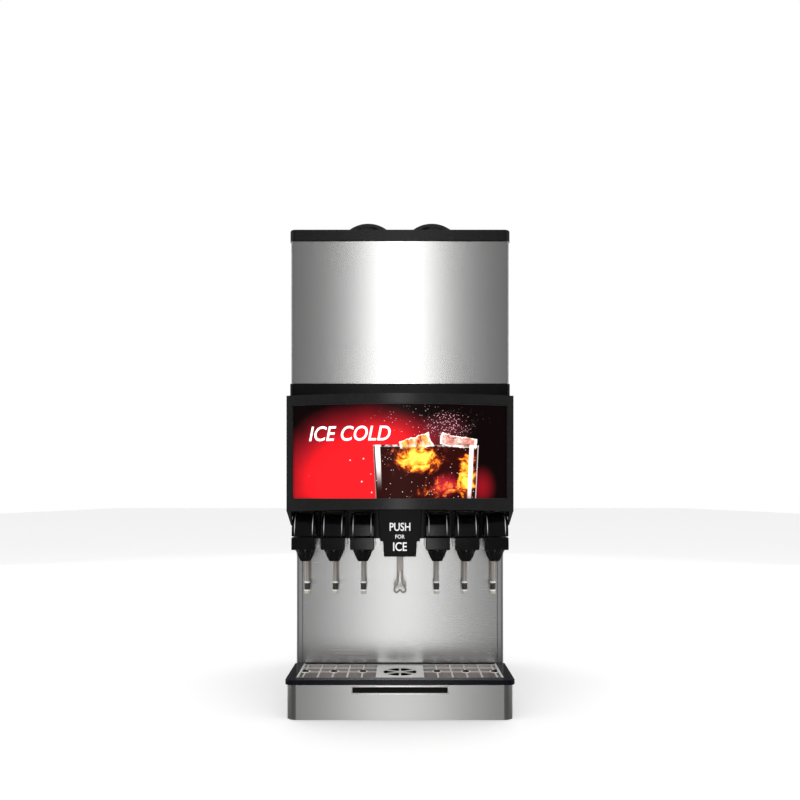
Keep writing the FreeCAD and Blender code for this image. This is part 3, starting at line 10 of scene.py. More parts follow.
import bmesh
import bpy
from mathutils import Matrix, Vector


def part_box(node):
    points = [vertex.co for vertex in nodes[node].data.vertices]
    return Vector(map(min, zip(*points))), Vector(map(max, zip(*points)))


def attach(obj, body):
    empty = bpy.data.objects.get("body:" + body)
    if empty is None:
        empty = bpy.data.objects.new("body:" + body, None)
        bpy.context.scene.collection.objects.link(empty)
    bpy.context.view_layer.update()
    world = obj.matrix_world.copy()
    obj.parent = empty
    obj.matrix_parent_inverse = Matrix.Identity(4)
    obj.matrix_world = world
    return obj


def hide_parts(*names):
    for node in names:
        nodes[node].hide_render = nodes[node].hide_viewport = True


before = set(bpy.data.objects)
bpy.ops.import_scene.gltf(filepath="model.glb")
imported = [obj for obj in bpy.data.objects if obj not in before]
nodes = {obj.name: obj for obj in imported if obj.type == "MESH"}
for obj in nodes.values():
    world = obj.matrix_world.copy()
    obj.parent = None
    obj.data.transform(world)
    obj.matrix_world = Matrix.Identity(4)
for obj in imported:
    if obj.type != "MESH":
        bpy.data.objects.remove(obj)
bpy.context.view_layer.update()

# %% [markdown]
# ## Camera and light
# A fairly near camera at mid height looks level at the front. Its film is shifted up, as with a view
# camera, so the upright edges stay upright while the foot and the lid both stay in view. One tall soft
# light stands behind the camera: brushed steel that runs level spreads it into an upright band that is
# white in the middle and grey at both sides. Side lights and two broad cards draw lines along the
# black mouldings and fill the rounded corners, three boxes behind do the same for the sides and back,
# and one hangs above. The sky is white, but dim in reflections, so gloss stays dark.

# %% Camera
camera_data = bpy.data.cameras.new("front_camera")
camera_data.lens = 33.75
camera_data.sensor_width = 36
camera_data.shift_y = 0.119
camera = bpy.data.objects.new("front_camera", camera_data)
camera.location = (0, -2.184, 0.5526)
camera.rotation_euler = (math.radians(90), 0, 0)
bpy.context.collection.objects.link(camera)
bpy.context.scene.camera = camera
bpy.context.scene.view_settings.view_transform = "Standard"
print("camera", tuple(camera.location))


# %% Lights
def soft_light(name, place, aim, size, power):
    """A flat soft box that faces a point."""
    data = bpy.data.lights.new(name, "AREA")
    data.shape = "RECTANGLE"
    data.size, data.size_y = size
    data.energy = power
    lamp = bpy.data.objects.new(name, data)
    lamp.location = place
    lamp.rotation_euler = (Vector(aim) - Vector(place)).to_track_quat("-Z", "Y").to_euler()
    bpy.context.collection.objects.link(lamp)
    lamp.visible_camera = False
    return lamp


soft_light("tall_front_box", (0, -5.0, 1.0), (0, 0, 1.0), (0.50, 8.0), 38)
soft_light("left_box", (-3.2, -1.6, 1.6), (0, 0, 0.7), (0.5, 2.6), 7)
soft_light("right_box", (3.2, -1.6, 1.6), (0, 0, 0.7), (0.5, 2.6), 7)
soft_light("left_card", (-2.6, -0.3, 0.8), (0, -0.1, 0.6), (1.8, 2.4), 6.5)
soft_light("right_card", (2.6, -0.3, 0.8), (0, -0.1, 0.6), (1.8, 2.4), 6.5)
soft_light("back_box", (0, 5.0, 1.0), (0, 0, 1.0), (1.4, 7.0), 34)
soft_light("left_rear_box", (-3.6, 3.0, 1.2), (0, 0, 0.8), (1.6, 5.0), 22)
soft_light("right_rear_box", (3.6, 3.0, 1.2), (0, 0, 0.8), (1.6, 5.0), 22)
soft_light("top_box", (0, -0.6, 3.6), (0, 0, 0.8), (2.4, 2.4), 16)


# %% Sky
def sky_light(tree, strength):
    """A plain white sky of one strength."""
    shade = tree.nodes.new("ShaderNodeBackground")
    shade.inputs["Color"].default_value = (1, 1, 1, 1)
    shade.inputs["Strength"].default_value = strength
    return shade.outputs[0]


world = bpy.data.worlds.new("studio")
bpy.context.scene.world = world
world.use_nodes = True
sky = world.node_tree
sky.nodes.clear()
rays = sky.nodes.new("ShaderNodeLightPath")
dimmed = sky.nodes.new("ShaderNodeMixShader")
sky.links.new(rays.outputs["Is Glossy Ray"], dimmed.inputs[0])
sky.links.new(sky_light(sky, 1.0), dimmed.inputs[1])
sky.links.new(sky_light(sky, 0.10), dimmed.inputs[2])
world_out = sky.nodes.new("ShaderNodeOutputWorld")
sky.links.new(dimmed.outputs[0], world_out.inputs["Surface"])

# %% [markdown]
# ## Shader maths as Python
# A surface needs small differences: grain, smudges, prints. Writing each one as chains of nodes by hand
# is hard to read, so a wire wraps a socket and its operators add the Math nodes. A finish owns one
# material with its shader; values that never change are set on the shader itself.


# %% Wires and finishes
class Wire:
    """One output socket, with arithmetic that adds Math nodes."""

    def __init__(self, finish, socket):
        self.finish = finish
        self.socket = socket

    def maths(self, operation, *others):
        values = {n: other for n, other in enumerate((self,) + others)}
        return self.finish.node("ShaderNodeMath", {"operation": operation}, values)

    def __add__(self, other):
        return self.maths("ADD", other)

    def __sub__(self, other):
        return self.maths("SUBTRACT", other)

    def __mul__(self, other):
        return self.maths("MULTIPLY", other)

    def __truediv__(self, other):
        return self.maths("DIVIDE", other)

    def __pow__(self, other):
        return self.maths("POWER", other)

    __radd__ = __add__
    __rmul__ = __mul__

    def __rsub__(self, other):
        return self.finish.node("ShaderNodeMath", {"operation": "SUBTRACT"}, {0: other, 1: self})

    def __lt__(self, other):
        return self.maths("LESS_THAN", other)

    def __gt__(self, other):
        return self.maths("GREATER_THAN", other)

    def __abs__(self):
        return self.maths("ABSOLUTE")


class Finish:
    """A material: its shader's fixed values by name, and nodes for what varies."""

    def __init__(self, name, **fixed):
        self.material = bpy.data.materials.new(name)
        self.material.use_nodes = True
        self.tree = self.material.node_tree
        self.shader = self.tree.nodes["Principled BSDF"]
        for socket, amount in fixed.items():
            self.shader.inputs[socket.replace("_", " ")].default_value = amount

    def node(self, kind, settings=None, values=None, out=0):
        """A node of a kind: its settings first, then its sockets' values or wires."""
        made = self.tree.nodes.new(kind)
        for name, setting in (settings or {}).items():
            if name == "stops":
                made.color_ramp.interpolation = "B_SPLINE"
                stops = made.color_ramp.elements
                while len(stops) < len(setting):
                    stops.new(1)
                for stop, (place, colour) in zip(stops, setting):
                    stop.position = place
                    stop.color = colour
            else:
                setattr(made, name, setting)
        for name, amount in (values or {}).items():
            if isinstance(amount, Wire):
                self.tree.links.new(amount.socket, made.inputs[name])
            else:
                made.inputs[name].default_value = amount
        return Wire(self, made.outputs[out])

    def feed(self, **wires):
        for socket, wire in wires.items():
            self.tree.links.new(wire.socket, self.shader.inputs[socket.replace("_", " ")])
        return self

    def place(self):
        """Where a point is on the machine, in metres."""
        return self.node("ShaderNodeTexCoord", out="Object")

    def stretched(self, scale):
        """That place stretched along the axes, for grain."""
        return self.node("ShaderNodeVectorMath", {"operation": "MULTIPLY"},
                         {0: self.place(), 1: scale})

    def noise(self, vector, scale, detail=2.0, roughness=0.5):
        return self.node("ShaderNodeTexNoise", {}, {"Vector": vector, "Scale": scale, "Detail": detail,
                                                   "Roughness": roughness})

    def mix(self, factor, first, second):
        """A colour between two."""
        return self.node("ShaderNodeMix", {"data_type": "RGBA"},
                         {"Factor": factor, 6: first, 7: second}, out=2)

    def bump(self, height, strength, distance):
        return self.node("ShaderNodeBump", {}, {"Height": height, "Strength": strength,
                                               "Distance": distance})


def grey(level, alpha=1.0):
    return (level, level, level, alpha)


def clamp(wire, low, high):
    """0 below low and 1 above high, with a smooth ramp between; low may be above high."""
    return wire.finish.node("ShaderNodeMapRange", {"interpolation_type": "SMOOTHSTEP"},
                            {"Value": wire, "From Min": low, "From Max": high})


print("maths ready")

# %% [markdown]
# ## Brushed stainless sheet
# The sheet is brushed level, in strokes far longer than they are high. Grain comes from noise that is
# stretched a few hundred times along the level axes, so it runs round the corners. It moves the
# roughness and a very shallow bump, and larger faint clouds stand for wiped fingermarks.


# %% Stainless finishes
def brushed_steel(name, colour, roughness, grain=1.0, metallic=1.0):
    steel = Finish(name, Metallic=metallic, IOR=2.5)
    strokes = steel.noise(steel.stretched((3, 3, 700)), 1.6, 4, 0.65)
    fine = steel.noise(steel.stretched((12, 12, 2600)), 1.1, 2, 0.5)
    clouds = steel.noise(steel.place(), 3.5, 3, 0.55)
    worn = steel.noise(steel.place(), 11.0, 4, 0.6)
    level = roughness + ((strokes - 0.5) * 0.10 + (clouds - 0.5) * 0.06 + (worn - 0.5) * 0.04) * grain
    dark = tuple(c * 0.90 for c in colour[:3]) + (1,)
    tint = steel.mix((strokes * 0.6 + fine * 0.4 - 0.5) * grain + 0.5, dark, colour)
    steel.feed(Base_Color=tint, Roughness=level,
               Normal=steel.bump(strokes * 0.6 + fine * 0.4, 0.06 * grain, 0.0001))
    return steel.material


cabinet_steel = brushed_steel("cabinet_stainless", (0.62, 0.62, 0.615, 1), 0.29, 0.4)
hopper_steel = brushed_steel("hopper_stainless", (0.74, 0.74, 0.735, 1), 0.20, 0.12)
splash_steel = brushed_steel("splash_stainless", (0.70, 0.70, 0.695, 1), 0.27, 0.22)
grille_steel = brushed_steel("grille_stainless", (0.86, 0.85, 0.83, 1), 0.38, 0.4, 0.45)
bright_steel = brushed_steel("bright_stainless", (0.80, 0.79, 0.77, 1), 0.16, 0.3)
polished_edge = brushed_steel("polished_edge", (0.97, 0.96, 0.94, 1), 0.30, 0.2, 0.2)
satin_steel = brushed_steel("satin_stainless", (0.56, 0.51, 0.46, 1), 0.42, 0.3, 0.7)
print("materials so far", len(bpy.data.materials))

# %% [markdown]
# ## Black mouldings
# The lid, band, bezel, valves and tray are gloss mouldings. Gloss black is nearly all reflection, so its
# life is in the surface: a faint orange-peel ripple, fine dust that dulls it a little, and a hint of
# lightening where the clouds of dust lie.


# %% Black and dark plastics
def gloss_moulding(name, level, roughness, ripple=1.0, shine=0.5):
    plastic = Finish(name, IOR=1.5, Specular_IOR_Level=shine)
    peel = plastic.noise(plastic.place(), 260.0, 2, 0.5)
    dust = plastic.noise(plastic.place(), 28.0, 5, 0.65)
    scuff = plastic.noise(plastic.stretched((1, 1, 14)), 60.0, 3, 0.6)
    film = clamp(dust * 0.7 + scuff * 0.3, 0.40, 0.85)
    plastic.feed(Base_Color=plastic.mix(film, grey(level), grey(level * 1.3 + 0.001)),
                 Roughness=roughness + film * 0.05 + (scuff - 0.5) * 0.04,
                 Normal=plastic.bump(peel, 0.05 * ripple, 0.0004))
    return plastic.material


lid_black = gloss_moulding("lid_black", 0.007, 0.26, 0.6, 0.25)
band_black = gloss_moulding("band_black", 0.003, 0.22, 0.6, 0.14)
bezel_grey = gloss_moulding("bezel_dark_grey", 0.010, 0.24, 0.5, 0.42)
valve_black = gloss_moulding("valve_black", 0.0015, 0.11, 0.4, 0.5)
nozzle_black = gloss_moulding("nozzle_black", 0.002, 0.10, 0.4, 0.6)
shroud_black = gloss_moulding("shroud_black", 0.0025, 0.20, 0.5, 0.07)
label_black = gloss_moulding("label_black", 0.002, 0.3, 1.0, 0.1)
rubber_black = gloss_moulding("rubber_black", 0.002, 0.6, 1.0, 0.0)
print("materials so far", len(bpy.data.materials))

# %% [markdown]
# ## Drip tray
# The rim is gloss black. The basin below the cup rest has a paler liner, which shows through the openings.
# The tray is one moulding, so it keeps one material, and the liner is marked out in it by place: between
# the rest's ends, clear of the wheel's plate, behind the rim and below the rest.


# %% Tray finish
def lined_tray(name, half_width, plain_half, front, low):
    tray = Finish(name, IOR=1.5, Specular_IOR_Level=0.18)
    spot = tray.node("ShaderNodeSeparateXYZ", {}, {"Vector": tray.place()})
    forward = Wire(tray, spot.socket.node.outputs["Y"])
    height = Wire(tray, spot.socket.node.outputs["Z"])
    within_sides = abs(spot) < half_width
    liner = within_sides * (abs(spot) > plain_half) * (forward > front) * (height < low)
    scale = tray.noise(tray.place(), 45.0, 4, 0.6)
    liner_tone = tray.mix(scale, (0.30, 0.27, 0.26, 1), (0.52, 0.47, 0.45, 1))
    rim_tone = tray.mix(scale, (0.002, 0.002, 0.005, 1), (0.004, 0.004, 0.008, 1))
    tray.feed(Base_Color=tray.mix(liner, rim_tone, liner_tone), Roughness=0.20 + liner * 0.2 + scale * 0.05,
              Normal=tray.bump(scale, 0.05, 0.0003))
    return tray.material


rest_low, rest_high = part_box("cup_rest")
wheel_plate_half = 0.059
tray_black = lined_tray("tray_black_lined", rest_high[0] + 0.001, wheel_plate_half, rest_low[1] - 0.001,
                        rest_low[2] - 0.0004)
print("tray lined below", round(rest_low[2], 4))

# %% [markdown]
# ## Matt plastics and foam
# Valve bodies, the bin liner and the chute are moulded in tools with a spark-eroded grain, which scatters
# light evenly. Fine noise in the bump gives that grain, and slow patches keep a large face from looking
# flat. Foam is the same thing much coarser.


# %% Matt finishes
def textured_moulding(name, colour, roughness, grain_size, depth):
    """A matt moulding with a spark-eroded grain."""
    plastic = Finish(name, IOR=1.49)
    grain = plastic.noise(plastic.place(), grain_size, 3, 0.6)
    patch = plastic.noise(plastic.place(), 9.0, 3, 0.5)
    darker = tuple(c * 0.86 for c in colour[:3]) + (1,)
    plastic.feed(Base_Color=plastic.mix(patch, darker, colour), Roughness=roughness + (grain - 0.5) * 0.15,
                 Normal=plastic.bump(grain, 0.25, depth))
    return plastic.material


valve_grey = textured_moulding("valve_body_grey", (0.035, 0.036, 0.038, 1), 0.5, 900, 0.0003)
liner_white = textured_moulding("liner_white", (0.78, 0.79, 0.78, 1), 0.42, 500, 0.0003)
chute_grey = textured_moulding("chute_grey", (0.45, 0.46, 0.46, 1), 0.45, 500, 0.0003)
board_white = textured_moulding("led_board_white", (0.80, 0.80, 0.74, 1), 0.5, 700, 0.0002)
foam_cream = textured_moulding("foam_cream", (0.80, 0.70, 0.45, 1), 0.9, 180, 0.0015)
print("materials so far", len(bpy.data.materials))

# %% [markdown]
# ## Painted, zinc and cast metals
# Galvanised sheet shows spangle, which is a mosaic of crystals, each with its own grey. Voronoi cells are
# that mosaic. With very small cells the same finish serves for powder coat, cast metal and the white
# reflector.


# %% Coated finishes
def coated_metal(name, colour, roughness, spangle, metallic):
    metal = Finish(name, Metallic=metallic)
    cells = metal.node("ShaderNodeTexVoronoi", {"feature": "F1"}, {"Vector": metal.place(),
                                                                   "Scale": spangle}, out="Color")
    tone = metal.node("ShaderNodeRGBToBW", {}, {"Color": cells})
    patch = metal.noise(metal.place(), 14, 3, 0.5)
    darker = tuple(c * 0.8 for c in colour[:3]) + (1,)
    metal.feed(Base_Color=metal.mix(tone * 0.6 + patch * 0.4, darker, colour),
               Roughness=roughness + (tone - 0.5) * 0.16,
               Normal=metal.bump(patch, 0.1, 0.0005))
    return metal.material


zinc = coated_metal("galvanised_sheet", (0.50, 0.51, 0.52, 1), 0.42, 70, 0.85)
frame_coat = coated_metal("frame_powder_coat", (0.16, 0.165, 0.17, 1), 0.55, 500, 0.0)
cast_aluminium = coated_metal("cast_aluminium", (0.62, 0.63, 0.64, 1), 0.5, 300, 0.9)
reflector_white = coated_metal("reflector_white", (0.85, 0.85, 0.84, 1), 0.4, 400, 0.0)
print("materials so far", len(bpy.data.materials))

# %% [markdown]
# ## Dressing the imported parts
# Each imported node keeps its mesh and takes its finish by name, so a changed part is still dressed.

# %% Finishes by node
finish_of = {
    "base_pan": zinc, "base_front_panel": cabinet_steel, "label_plate": label_black,
    "drip_tray": tray_black, "cup_rest": grille_steel, "drain_line": chute_grey, "chassis": frame_coat,
    "left_side_panel": cabinet_steel, "right_side_panel": cabinet_steel, "rear_panel": zinc,
    "splash_panel": splash_steel, "hopper_shell": hopper_steel, "hopper_foam": foam_cream,
    "hopper_liner": liner_white, "cold_plate": cast_aluminium, "agitator": bright_steel,
    "gear_motor": frame_coat, "lid": lid_black, "lid_handles": lid_black, "hinge_brackets": cabinet_steel,
    "hinge_leaves": cabinet_steel, "trim_band": band_black, "trim_screws": band_black,
    "bezel": bezel_grey, "light_box": reflector_white, "led_strips": board_white,
    "valve_panel": band_black, "valve_mounts": valve_grey, "ice_chute_shroud": shroud_black,
    "ice_chute": chute_grey, "ice_gate": valve_grey, "pivot_pins": bright_steel,
    "ice_lever": satin_steel, "drink_lines": bright_steel, "control_box": zinc,
}
VALVES = range(1, 7)
for n in VALVES:
    finish_of[f"valve_{n}_body"] = valve_grey
    finish_of[f"valve_{n}_cover"] = valve_black
    finish_of[f"valve_{n}_nozzle"] = nozzle_black
    finish_of[f"valve_{n}_lever"] = satin_steel
for name, material in finish_of.items():
    mesh = nodes[name].data
    mesh.materials.clear()
    mesh.materials.append(material)
print("dressed", len(finish_of))

# %% [markdown]
# ## Softened edges
# Real sheet and mouldings have softened edges that catch a line of light. A bevel modifier rounds every
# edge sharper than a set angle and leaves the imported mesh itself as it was.


# %% Softened edges
def soft_edges(piece, width, segments):
    """A small rounding on every sharp edge."""
    bevel = piece.modifiers.new("soft_edges", "BEVEL")
    bevel.width = width
    bevel.segments = segments
    bevel.limit_method = "ANGLE"
    bevel.angle_limit = math.radians(35)
    bevel.harden_normals = True
    return piece


soft = {"lid": 0.0012, "lid_handles": 0.0018, "trim_band": 0.0010, "bezel": 0.0022, "drip_tray": 0.0010,
        "ice_chute_shroud": 0.0010, "base_front_panel": 0.0004, "splash_panel": 0.0005,
        "hopper_shell": 0.0004, "trim_screws": 0.0005}
for name, width in soft.items():
    soft_edges(nodes[name], width, 2)
print("softened", len(soft))

# %% [markdown]
# ## Floor
# A plain pale floor that runs far back. It is left out of mirror reflections, so the steel shows the tall
# light all the way down to its foot instead of the floor.


# %% Floor
def shown(name, mesh, material):
    """An object that shows a mesh in one material."""
    mesh.materials.clear()
    mesh.materials.append(material)
    made = bpy.data.objects.new(name, mesh)
    bpy.context.collection.objects.link(made)
    return made


def new_piece(name, points, faces, material, smooth=False):
    """A mesh object made from points and faces."""
    mesh = bpy.data.meshes.new(name)
    mesh.from_pydata(points, [], faces)
    mesh.validate()
    mesh.update()
    if smooth:
        mesh.polygons.foreach_set("use_smooth", [True] * len(mesh.polygons))
    return shown(name, mesh, material)


floor_corners = [(-12, -9, -0.0005), (12, -9, -0.0005), (12, 30, -0.0005), (-12, 30, -0.0005)]
pale = Finish("pale_floor", Roughness=0.7, Emission_Strength=0.07)
pale.shader.inputs["Emission Color"].default_value = grey(1.0)
mottle = pale.noise(pale.place(), 2.0, 2, 0.5)
pale.feed(Base_Color=pale.mix(mottle, grey(0.93), grey(0.96)))
floor = new_piece("floor", floor_corners, [(0, 1, 2, 3)], pale.material)
floor.visible_glossy = False
floor.visible_shadow = False
print("floor", floor.dimensions[:])

# %% [markdown]
# ## Making pieces
# Most added pieces are one of three kinds: a side view pulled sideways, an outline turned about an upright
# axis, or a thin bar. Three short makers cover them, and a fourth turns a drawn curve or text into a mesh.
# Every piece rides on a body of the imported model and is given its finish when it is made.


# %% Makers
def belongs(piece, body):
    """The piece moves with a body."""
    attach(piece, body)
    return piece


def outward(piece, crease):
    """Faces turned outward, and edges sharper than the crease angle kept sharp."""
    skin = bmesh.new()
    skin.from_mesh(piece.data)
    bmesh.ops.recalc_face_normals(skin, faces=skin.faces)
    for edge in skin.edges:
        edge.smooth = edge.calc_face_angle(0) < math.radians(crease)
    skin.to_mesh(piece.data)
    skin.free()
    return piece


def pulled(name, side_view, left, right, material, soft_width=0.0):
    """A closed side view of (y, z) points pulled from left to right along X."""
    count = len(side_view)
    points = [(x, y, z) for x in (left, right) for y, z in side_view]
    faces = [tuple(range(count - 1, -1, -1)), tuple(range(count, 2 * count))]
    faces += [(k, (k + 1) % count, count + (k + 1) % count, count + k) for k in range(count)]
    piece = outward(new_piece(name, points, faces, material, smooth=True), 30)
    return soft_edges(piece, soft_width, 3) if soft_width else piece


def turned(name, outline, centre, material, steps=48, flutes=0, depth=0.0):
    """An outline of (radius, z, fluted) points turned about an upright axis at (x, y)."""
    points = []
    for radius, z, fluted in outline:
        for k in range(steps):
            angle = 2 * math.pi * k / steps
            reach = radius * (1 - depth * fluted * (0.5 - 0.5 * math.cos(flutes * angle)))
            points.append((centre[0] + reach * math.cos(angle), centre[1] + reach * math.sin(angle), z))
    faces = []
    for row in range(len(outline) - 1):
        for k in range(steps):
            a, b = row * steps + k, row * steps + (k + 1) % steps
            faces.append((a, b, b + steps, a + steps))
    return outward(new_piece(name, points, faces, material, smooth=True), 32)


def bar(name, low, high, material, soft_width=0.0002):
    """A straight bar between two corners with softened edges."""
    side_view = [(low[1], low[2]), (high[1], low[2]), (high[1], high[2]), (low[1], high[2])]
    return pulled(name, side_view, low[0], high[0], material, soft_width)


def mesh_of(name, curve):
    """The mesh of a curve or of text, worked out once."""
    drawn = bpy.data.objects.new(name, curve)
    bpy.context.collection.objects.link(drawn)
    bpy.context.view_layer.update()
    mesh = bpy.data.meshes.new_from_object(drawn.evaluated_get(bpy.context.evaluated_depsgraph_get()))
    bpy.data.objects.remove(drawn)
    return mesh


print("makers ready")

# %% [markdown]
# ## Valve covers
# Each cover is a short drum lying on its side between two set-back cheeks, over a lip that opens
# slightly towards the cup. The drum, the cheeks and the lip are made as separate pieces with their own
# roundings. A thin strip on each of the drum's rounded shoulders carries a painted highlight: two thin
# upright lines, pale grey in the middle and fading to black towards the drum's top and foot.

# %% Covers
cover_low, cover_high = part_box("valve_1_cover")
# Painted highlight for the shoulder strips: pale grey in the middle of the drum's height, fading to black
# towards its top and foot, and made uneven by noise.
shoulder = Finish("painted_shoulder_highlight", Roughness=0.18, IOR=1.5)
height = Wire(shoulder, shoulder.node("ShaderNodeSeparateXYZ", {}, {"Vector": shoulder.place()}
                                      ).socket.node.outputs["Z"])
fade = clamp(height, cover_low[2] + 0.034, cover_low[2] + 0.060) * clamp(height, cover_high[2] - 0.004,
                                                                     cover_high[2] - 0.034)
uneven_highlight = shoulder.noise(shoulder.place(), 220, 3, 0.6)
shoulder.feed(Base_Color=shoulder.mix(fade * (0.8 + uneven_highlight * 0.3), grey(0.003), grey(0.60)))
painted_shoulder_highlight = shoulder.material


drum_half = 0.0225
drum_round, inner_round = 0.052, 0.050
cheek_inner, cheek_outer = 0.0222, 0.0308
cheek_back, cheek_down = 0.0042, 0.0032
highlight_strip_wide = 0.0018
lip_tall, lip_gap = 0.033, 0.0008


def drum_side(front, back, low, top, radius):
    """The drum's side view: straight at its foot, then one round up to its top."""
    round_points = [(front + radius - radius * math.cos(a), top - radius + radius * math.sin(a))
                    for a in (math.pi / 2 * k / 12 for k in range(13))]
    return [(back, low), (front, low)] + round_points + [(back, top)]


for n in VALVES:
    low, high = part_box(f"valve_{n}_cover")
    middle = (low[0] + high[0]) / 2
    front, back = low[1] + 0.0015, high[1]
    split = low[2] + lip_tall
    drum_foot = split + lip_gap
    drum = pulled(f"valve_{n}_drum", drum_side(front, back, drum_foot, high[2], drum_round),
                  middle - drum_half, middle + drum_half, valve_black, 0.0030)
    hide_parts(f"valve_{n}_cover")
    belongs(drum, "cabinet")
    for side in (-1, 1):
        inner, outer = middle + side * cheek_inner, middle + side * cheek_outer
        cheek = pulled(f"valve_{n}_cheek_{'left' if side < 0 else 'right'}",
                       drum_side(front + cheek_back, back, drum_foot, high[2] - cheek_down, inner_round),
                       min(inner, outer), max(inner, outer), valve_black, 0.0022)
        belongs(cheek, "cabinet")
    outer_curve = drum_side(front - 0.0005, back, drum_foot, high[2] - 0.0002, drum_round)[1:-1]
    inner_curve = drum_side(front + 0.0012, back, drum_foot, high[2] - 0.0018, inner_round)[1:-1]
    # Thin strips on the drum's shoulders that carry the painted highlight.
    for tag, edge_x in (("left", middle - 0.0236), ("right", middle + 0.0218)):
        highlight_strip = pulled(f"valve_{n}_shoulder_{tag}", outer_curve + inner_curve[::-1], edge_x,
                      edge_x + highlight_strip_wide, painted_shoulder_highlight, 0.0003)
        belongs(highlight_strip, "cabinet")
    lip_side = [(back, low[2]), (low[1], low[2]), (low[1] + 0.0004, low[2] + 0.014),
                (front + 0.0012, split - 0.0012), (back, split - 0.0012)]
    lip = pulled(f"valve_{n}_lip", lip_side, middle - cheek_outer, middle + cheek_outer, valve_black, 0.0022)
    belongs(lip, "cabinet")
print("covers", len(VALVES))

# %% [markdown]
# ## Nozzles
# A nozzle is a fluted funnel that narrows to the outlet, so it is turned with its radius pulled in at
# each flute. The last number of each point says how much of the flute's depth it takes.

# %% Nozzles
flutes, flute_depth = 8, 0.24
for n in VALVES:
    low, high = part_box(f"valve_{n}_nozzle")
    centre = ((low[0] + high[0]) / 2, (low[1] + high[1]) / 2)
    top, foot, wide = high[2], low[2], (high[0] - low[0]) / 2
    outline = [(0.0208, top, 0), (wide, top, 0), (wide, top - 0.0034, 0), (wide - 0.0012, top - 0.0042, 0),
               (wide - 0.0016, top - 0.0052, 1), (0.0190, foot + 0.0115, 1), (0.0148, foot + 0.0030, 1),
               (0.0138, foot + 0.0018, 0), (0.0135, foot, 0), (0.0096, foot, 0), (0.0160, foot + 0.019, 0),
               (0.0208, foot + 0.020, 0), (0.0208, top, 0)]
    funnel = turned(f"valve_{n}_funnel", outline, centre, nozzle_black, 96, flutes, flute_depth)
    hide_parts(f"valve_{n}_nozzle")
    belongs(funnel, "cabinet")
print("nozzles", len(VALVES))

# %% [markdown]
# ## Lever sleeves
# A cup lever ends in a sleeve: bright collar, dark grip, bright collar and a plain tip. Each is its own
# turned piece that rides on its lever, so the joins are real edges and swing with it.

# %% Lever sleeves
grip_grey = textured_moulding("lever_grip_grey", (0.035, 0.035, 0.035, 1), 0.42, 1200, 0.0003)
tip_beige = textured_moulding("lever_tip_beige", (0.46, 0.40, 0.33, 1), 0.45, 900, 0.0002)
for n in VALVES:
    low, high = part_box(f"valve_{n}_lever")
    centre = ((low[0] + high[0]) / 2, (low[1] + high[1]) / 2)
    foot = low[2]
    rings = {
        "collar": ([(0.0061, foot + 0.0325, 0), (0.0072, foot + 0.0318, 0), (0.0076, foot + 0.0300, 0),
                    (0.0076, foot + 0.0288, 0), (0.0071, foot + 0.0280, 0)], polished_edge),
        "grip": ([(0.0071, foot + 0.0282, 0), (0.0073, foot + 0.0270, 0), (0.0073, foot + 0.0120, 0),
                  (0.0071, foot + 0.0108, 0)], grip_grey),
        "lower_collar": ([(0.0071, foot + 0.0110, 0), (0.0077, foot + 0.0102, 0),
                          (0.0077, foot + 0.0076, 0), (0.0071, foot + 0.0066, 0)], polished_edge),
        "tip": ([(0.0072, foot + 0.0068, 0), (0.0073, foot + 0.0050, 0), (0.0071, foot + 0.0004, 0),
                 (0.0, foot, 0)], tip_beige),
    }
    for part_name, (outline, material) in rings.items():
        ring = turned(f"valve_{n}_{part_name}", outline, centre, material, 40)
        belongs(ring, f"valve_{n}_lever")
print("lever pieces", 4 * len(VALVES))

# %% [markdown]
# ## Ice lever
# The ice lever is one strip of stainless with a slot cut up its middle. Below the slot the two legs swing
# out and curl into two round lobes that meet in a notch, so a cup of any size pushes it squarely. The
# legs and lobes are a smooth curve with a round section, flattened front to back like pressed strip.

# %% Ice lever pieces
lever_low, lever_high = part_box("ice_lever")
lever_y = (lever_low[1] + lever_high[1]) / 2
foot = lever_low[2]
half_thick = 0.0027
leg = 0.0052

# The right half, from the top of its leg to the notch, as (x, height above the foot).
half_curl = [(leg, 0.068), (leg, 0.046), (leg + 0.0003, 0.030), (0.0088, 0.0225), (0.0140, 0.0165),
             (0.0152, 0.0088), (0.0112, half_thick + 0.0003), (0.0055, 0.0045), (0.0016, 0.0092)]
whole_curl = half_curl + [(0, 0.0104)] + [(-x, z) for x, z in reversed(half_curl)]
curve = bpy.data.curves.new("curl_line", "CURVE")
curve.dimensions = "3D"
curve.bevel_depth = half_thick
curve.bevel_resolution = 4
curve.resolution_u = 8
spline = curve.splines.new("NURBS")
spline.points.add(len(whole_curl) - 1)
for point, (x, z) in zip(spline.points, whole_curl):
    point.co = (x, 0, z, 1)
spline.order_u = 3
spline.use_endpoint_u = True
curl_mesh = mesh_of("curl_line", curve)
flattening = 0.72
for vertex in curl_mesh.vertices:
    vertex.co = (vertex.co.x, lever_y + vertex.co.y * flattening, foot + vertex.co.z)
curl_mesh.polygons.foreach_set("use_smooth", [True] * len(curl_mesh.polygons))
curl = shown("ice_lever_curl", curl_mesh, satin_steel)
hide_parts("ice_lever")
belongs(curl, "ice_lever")
strip_back, strip_half = 0.0019, 0.0082
strip_foot, strip_top = foot + 0.060, lever_high[2] - 0.008
strip_side = [(lever_y - strip_back, strip_foot), (lever_y + strip_back, strip_foot),
              (lever_y + strip_back, strip_top), (lever_y - strip_back, strip_top)]
strip = pulled("ice_lever_strip", strip_side, -strip_half, strip_half, satin_steel, 0.0010)
belongs(strip, "ice_lever")
hub_radius, hub_half = 0.0069, 0.009
hub_z = lever_high[2] - 0.007
hub_side = [(lever_y + hub_radius * math.cos(a), hub_z + hub_radius * math.sin(a))
            for a in (math.pi * k / 12 for k in range(24))]
hub = pulled("ice_lever_hub", hub_side, -hub_half, hub_half, satin_steel, 0.0006)
belongs(hub, "ice_lever")
print("ice lever foot", round(foot, 4), "top", round(lever_high[2], 4))

# %% [markdown]
# ## The bowed display
# The artwork is printed on a film behind a bowed window, with diodes behind it. The film has to follow the
# bezel, whose bow and half width give the radius of its arc.

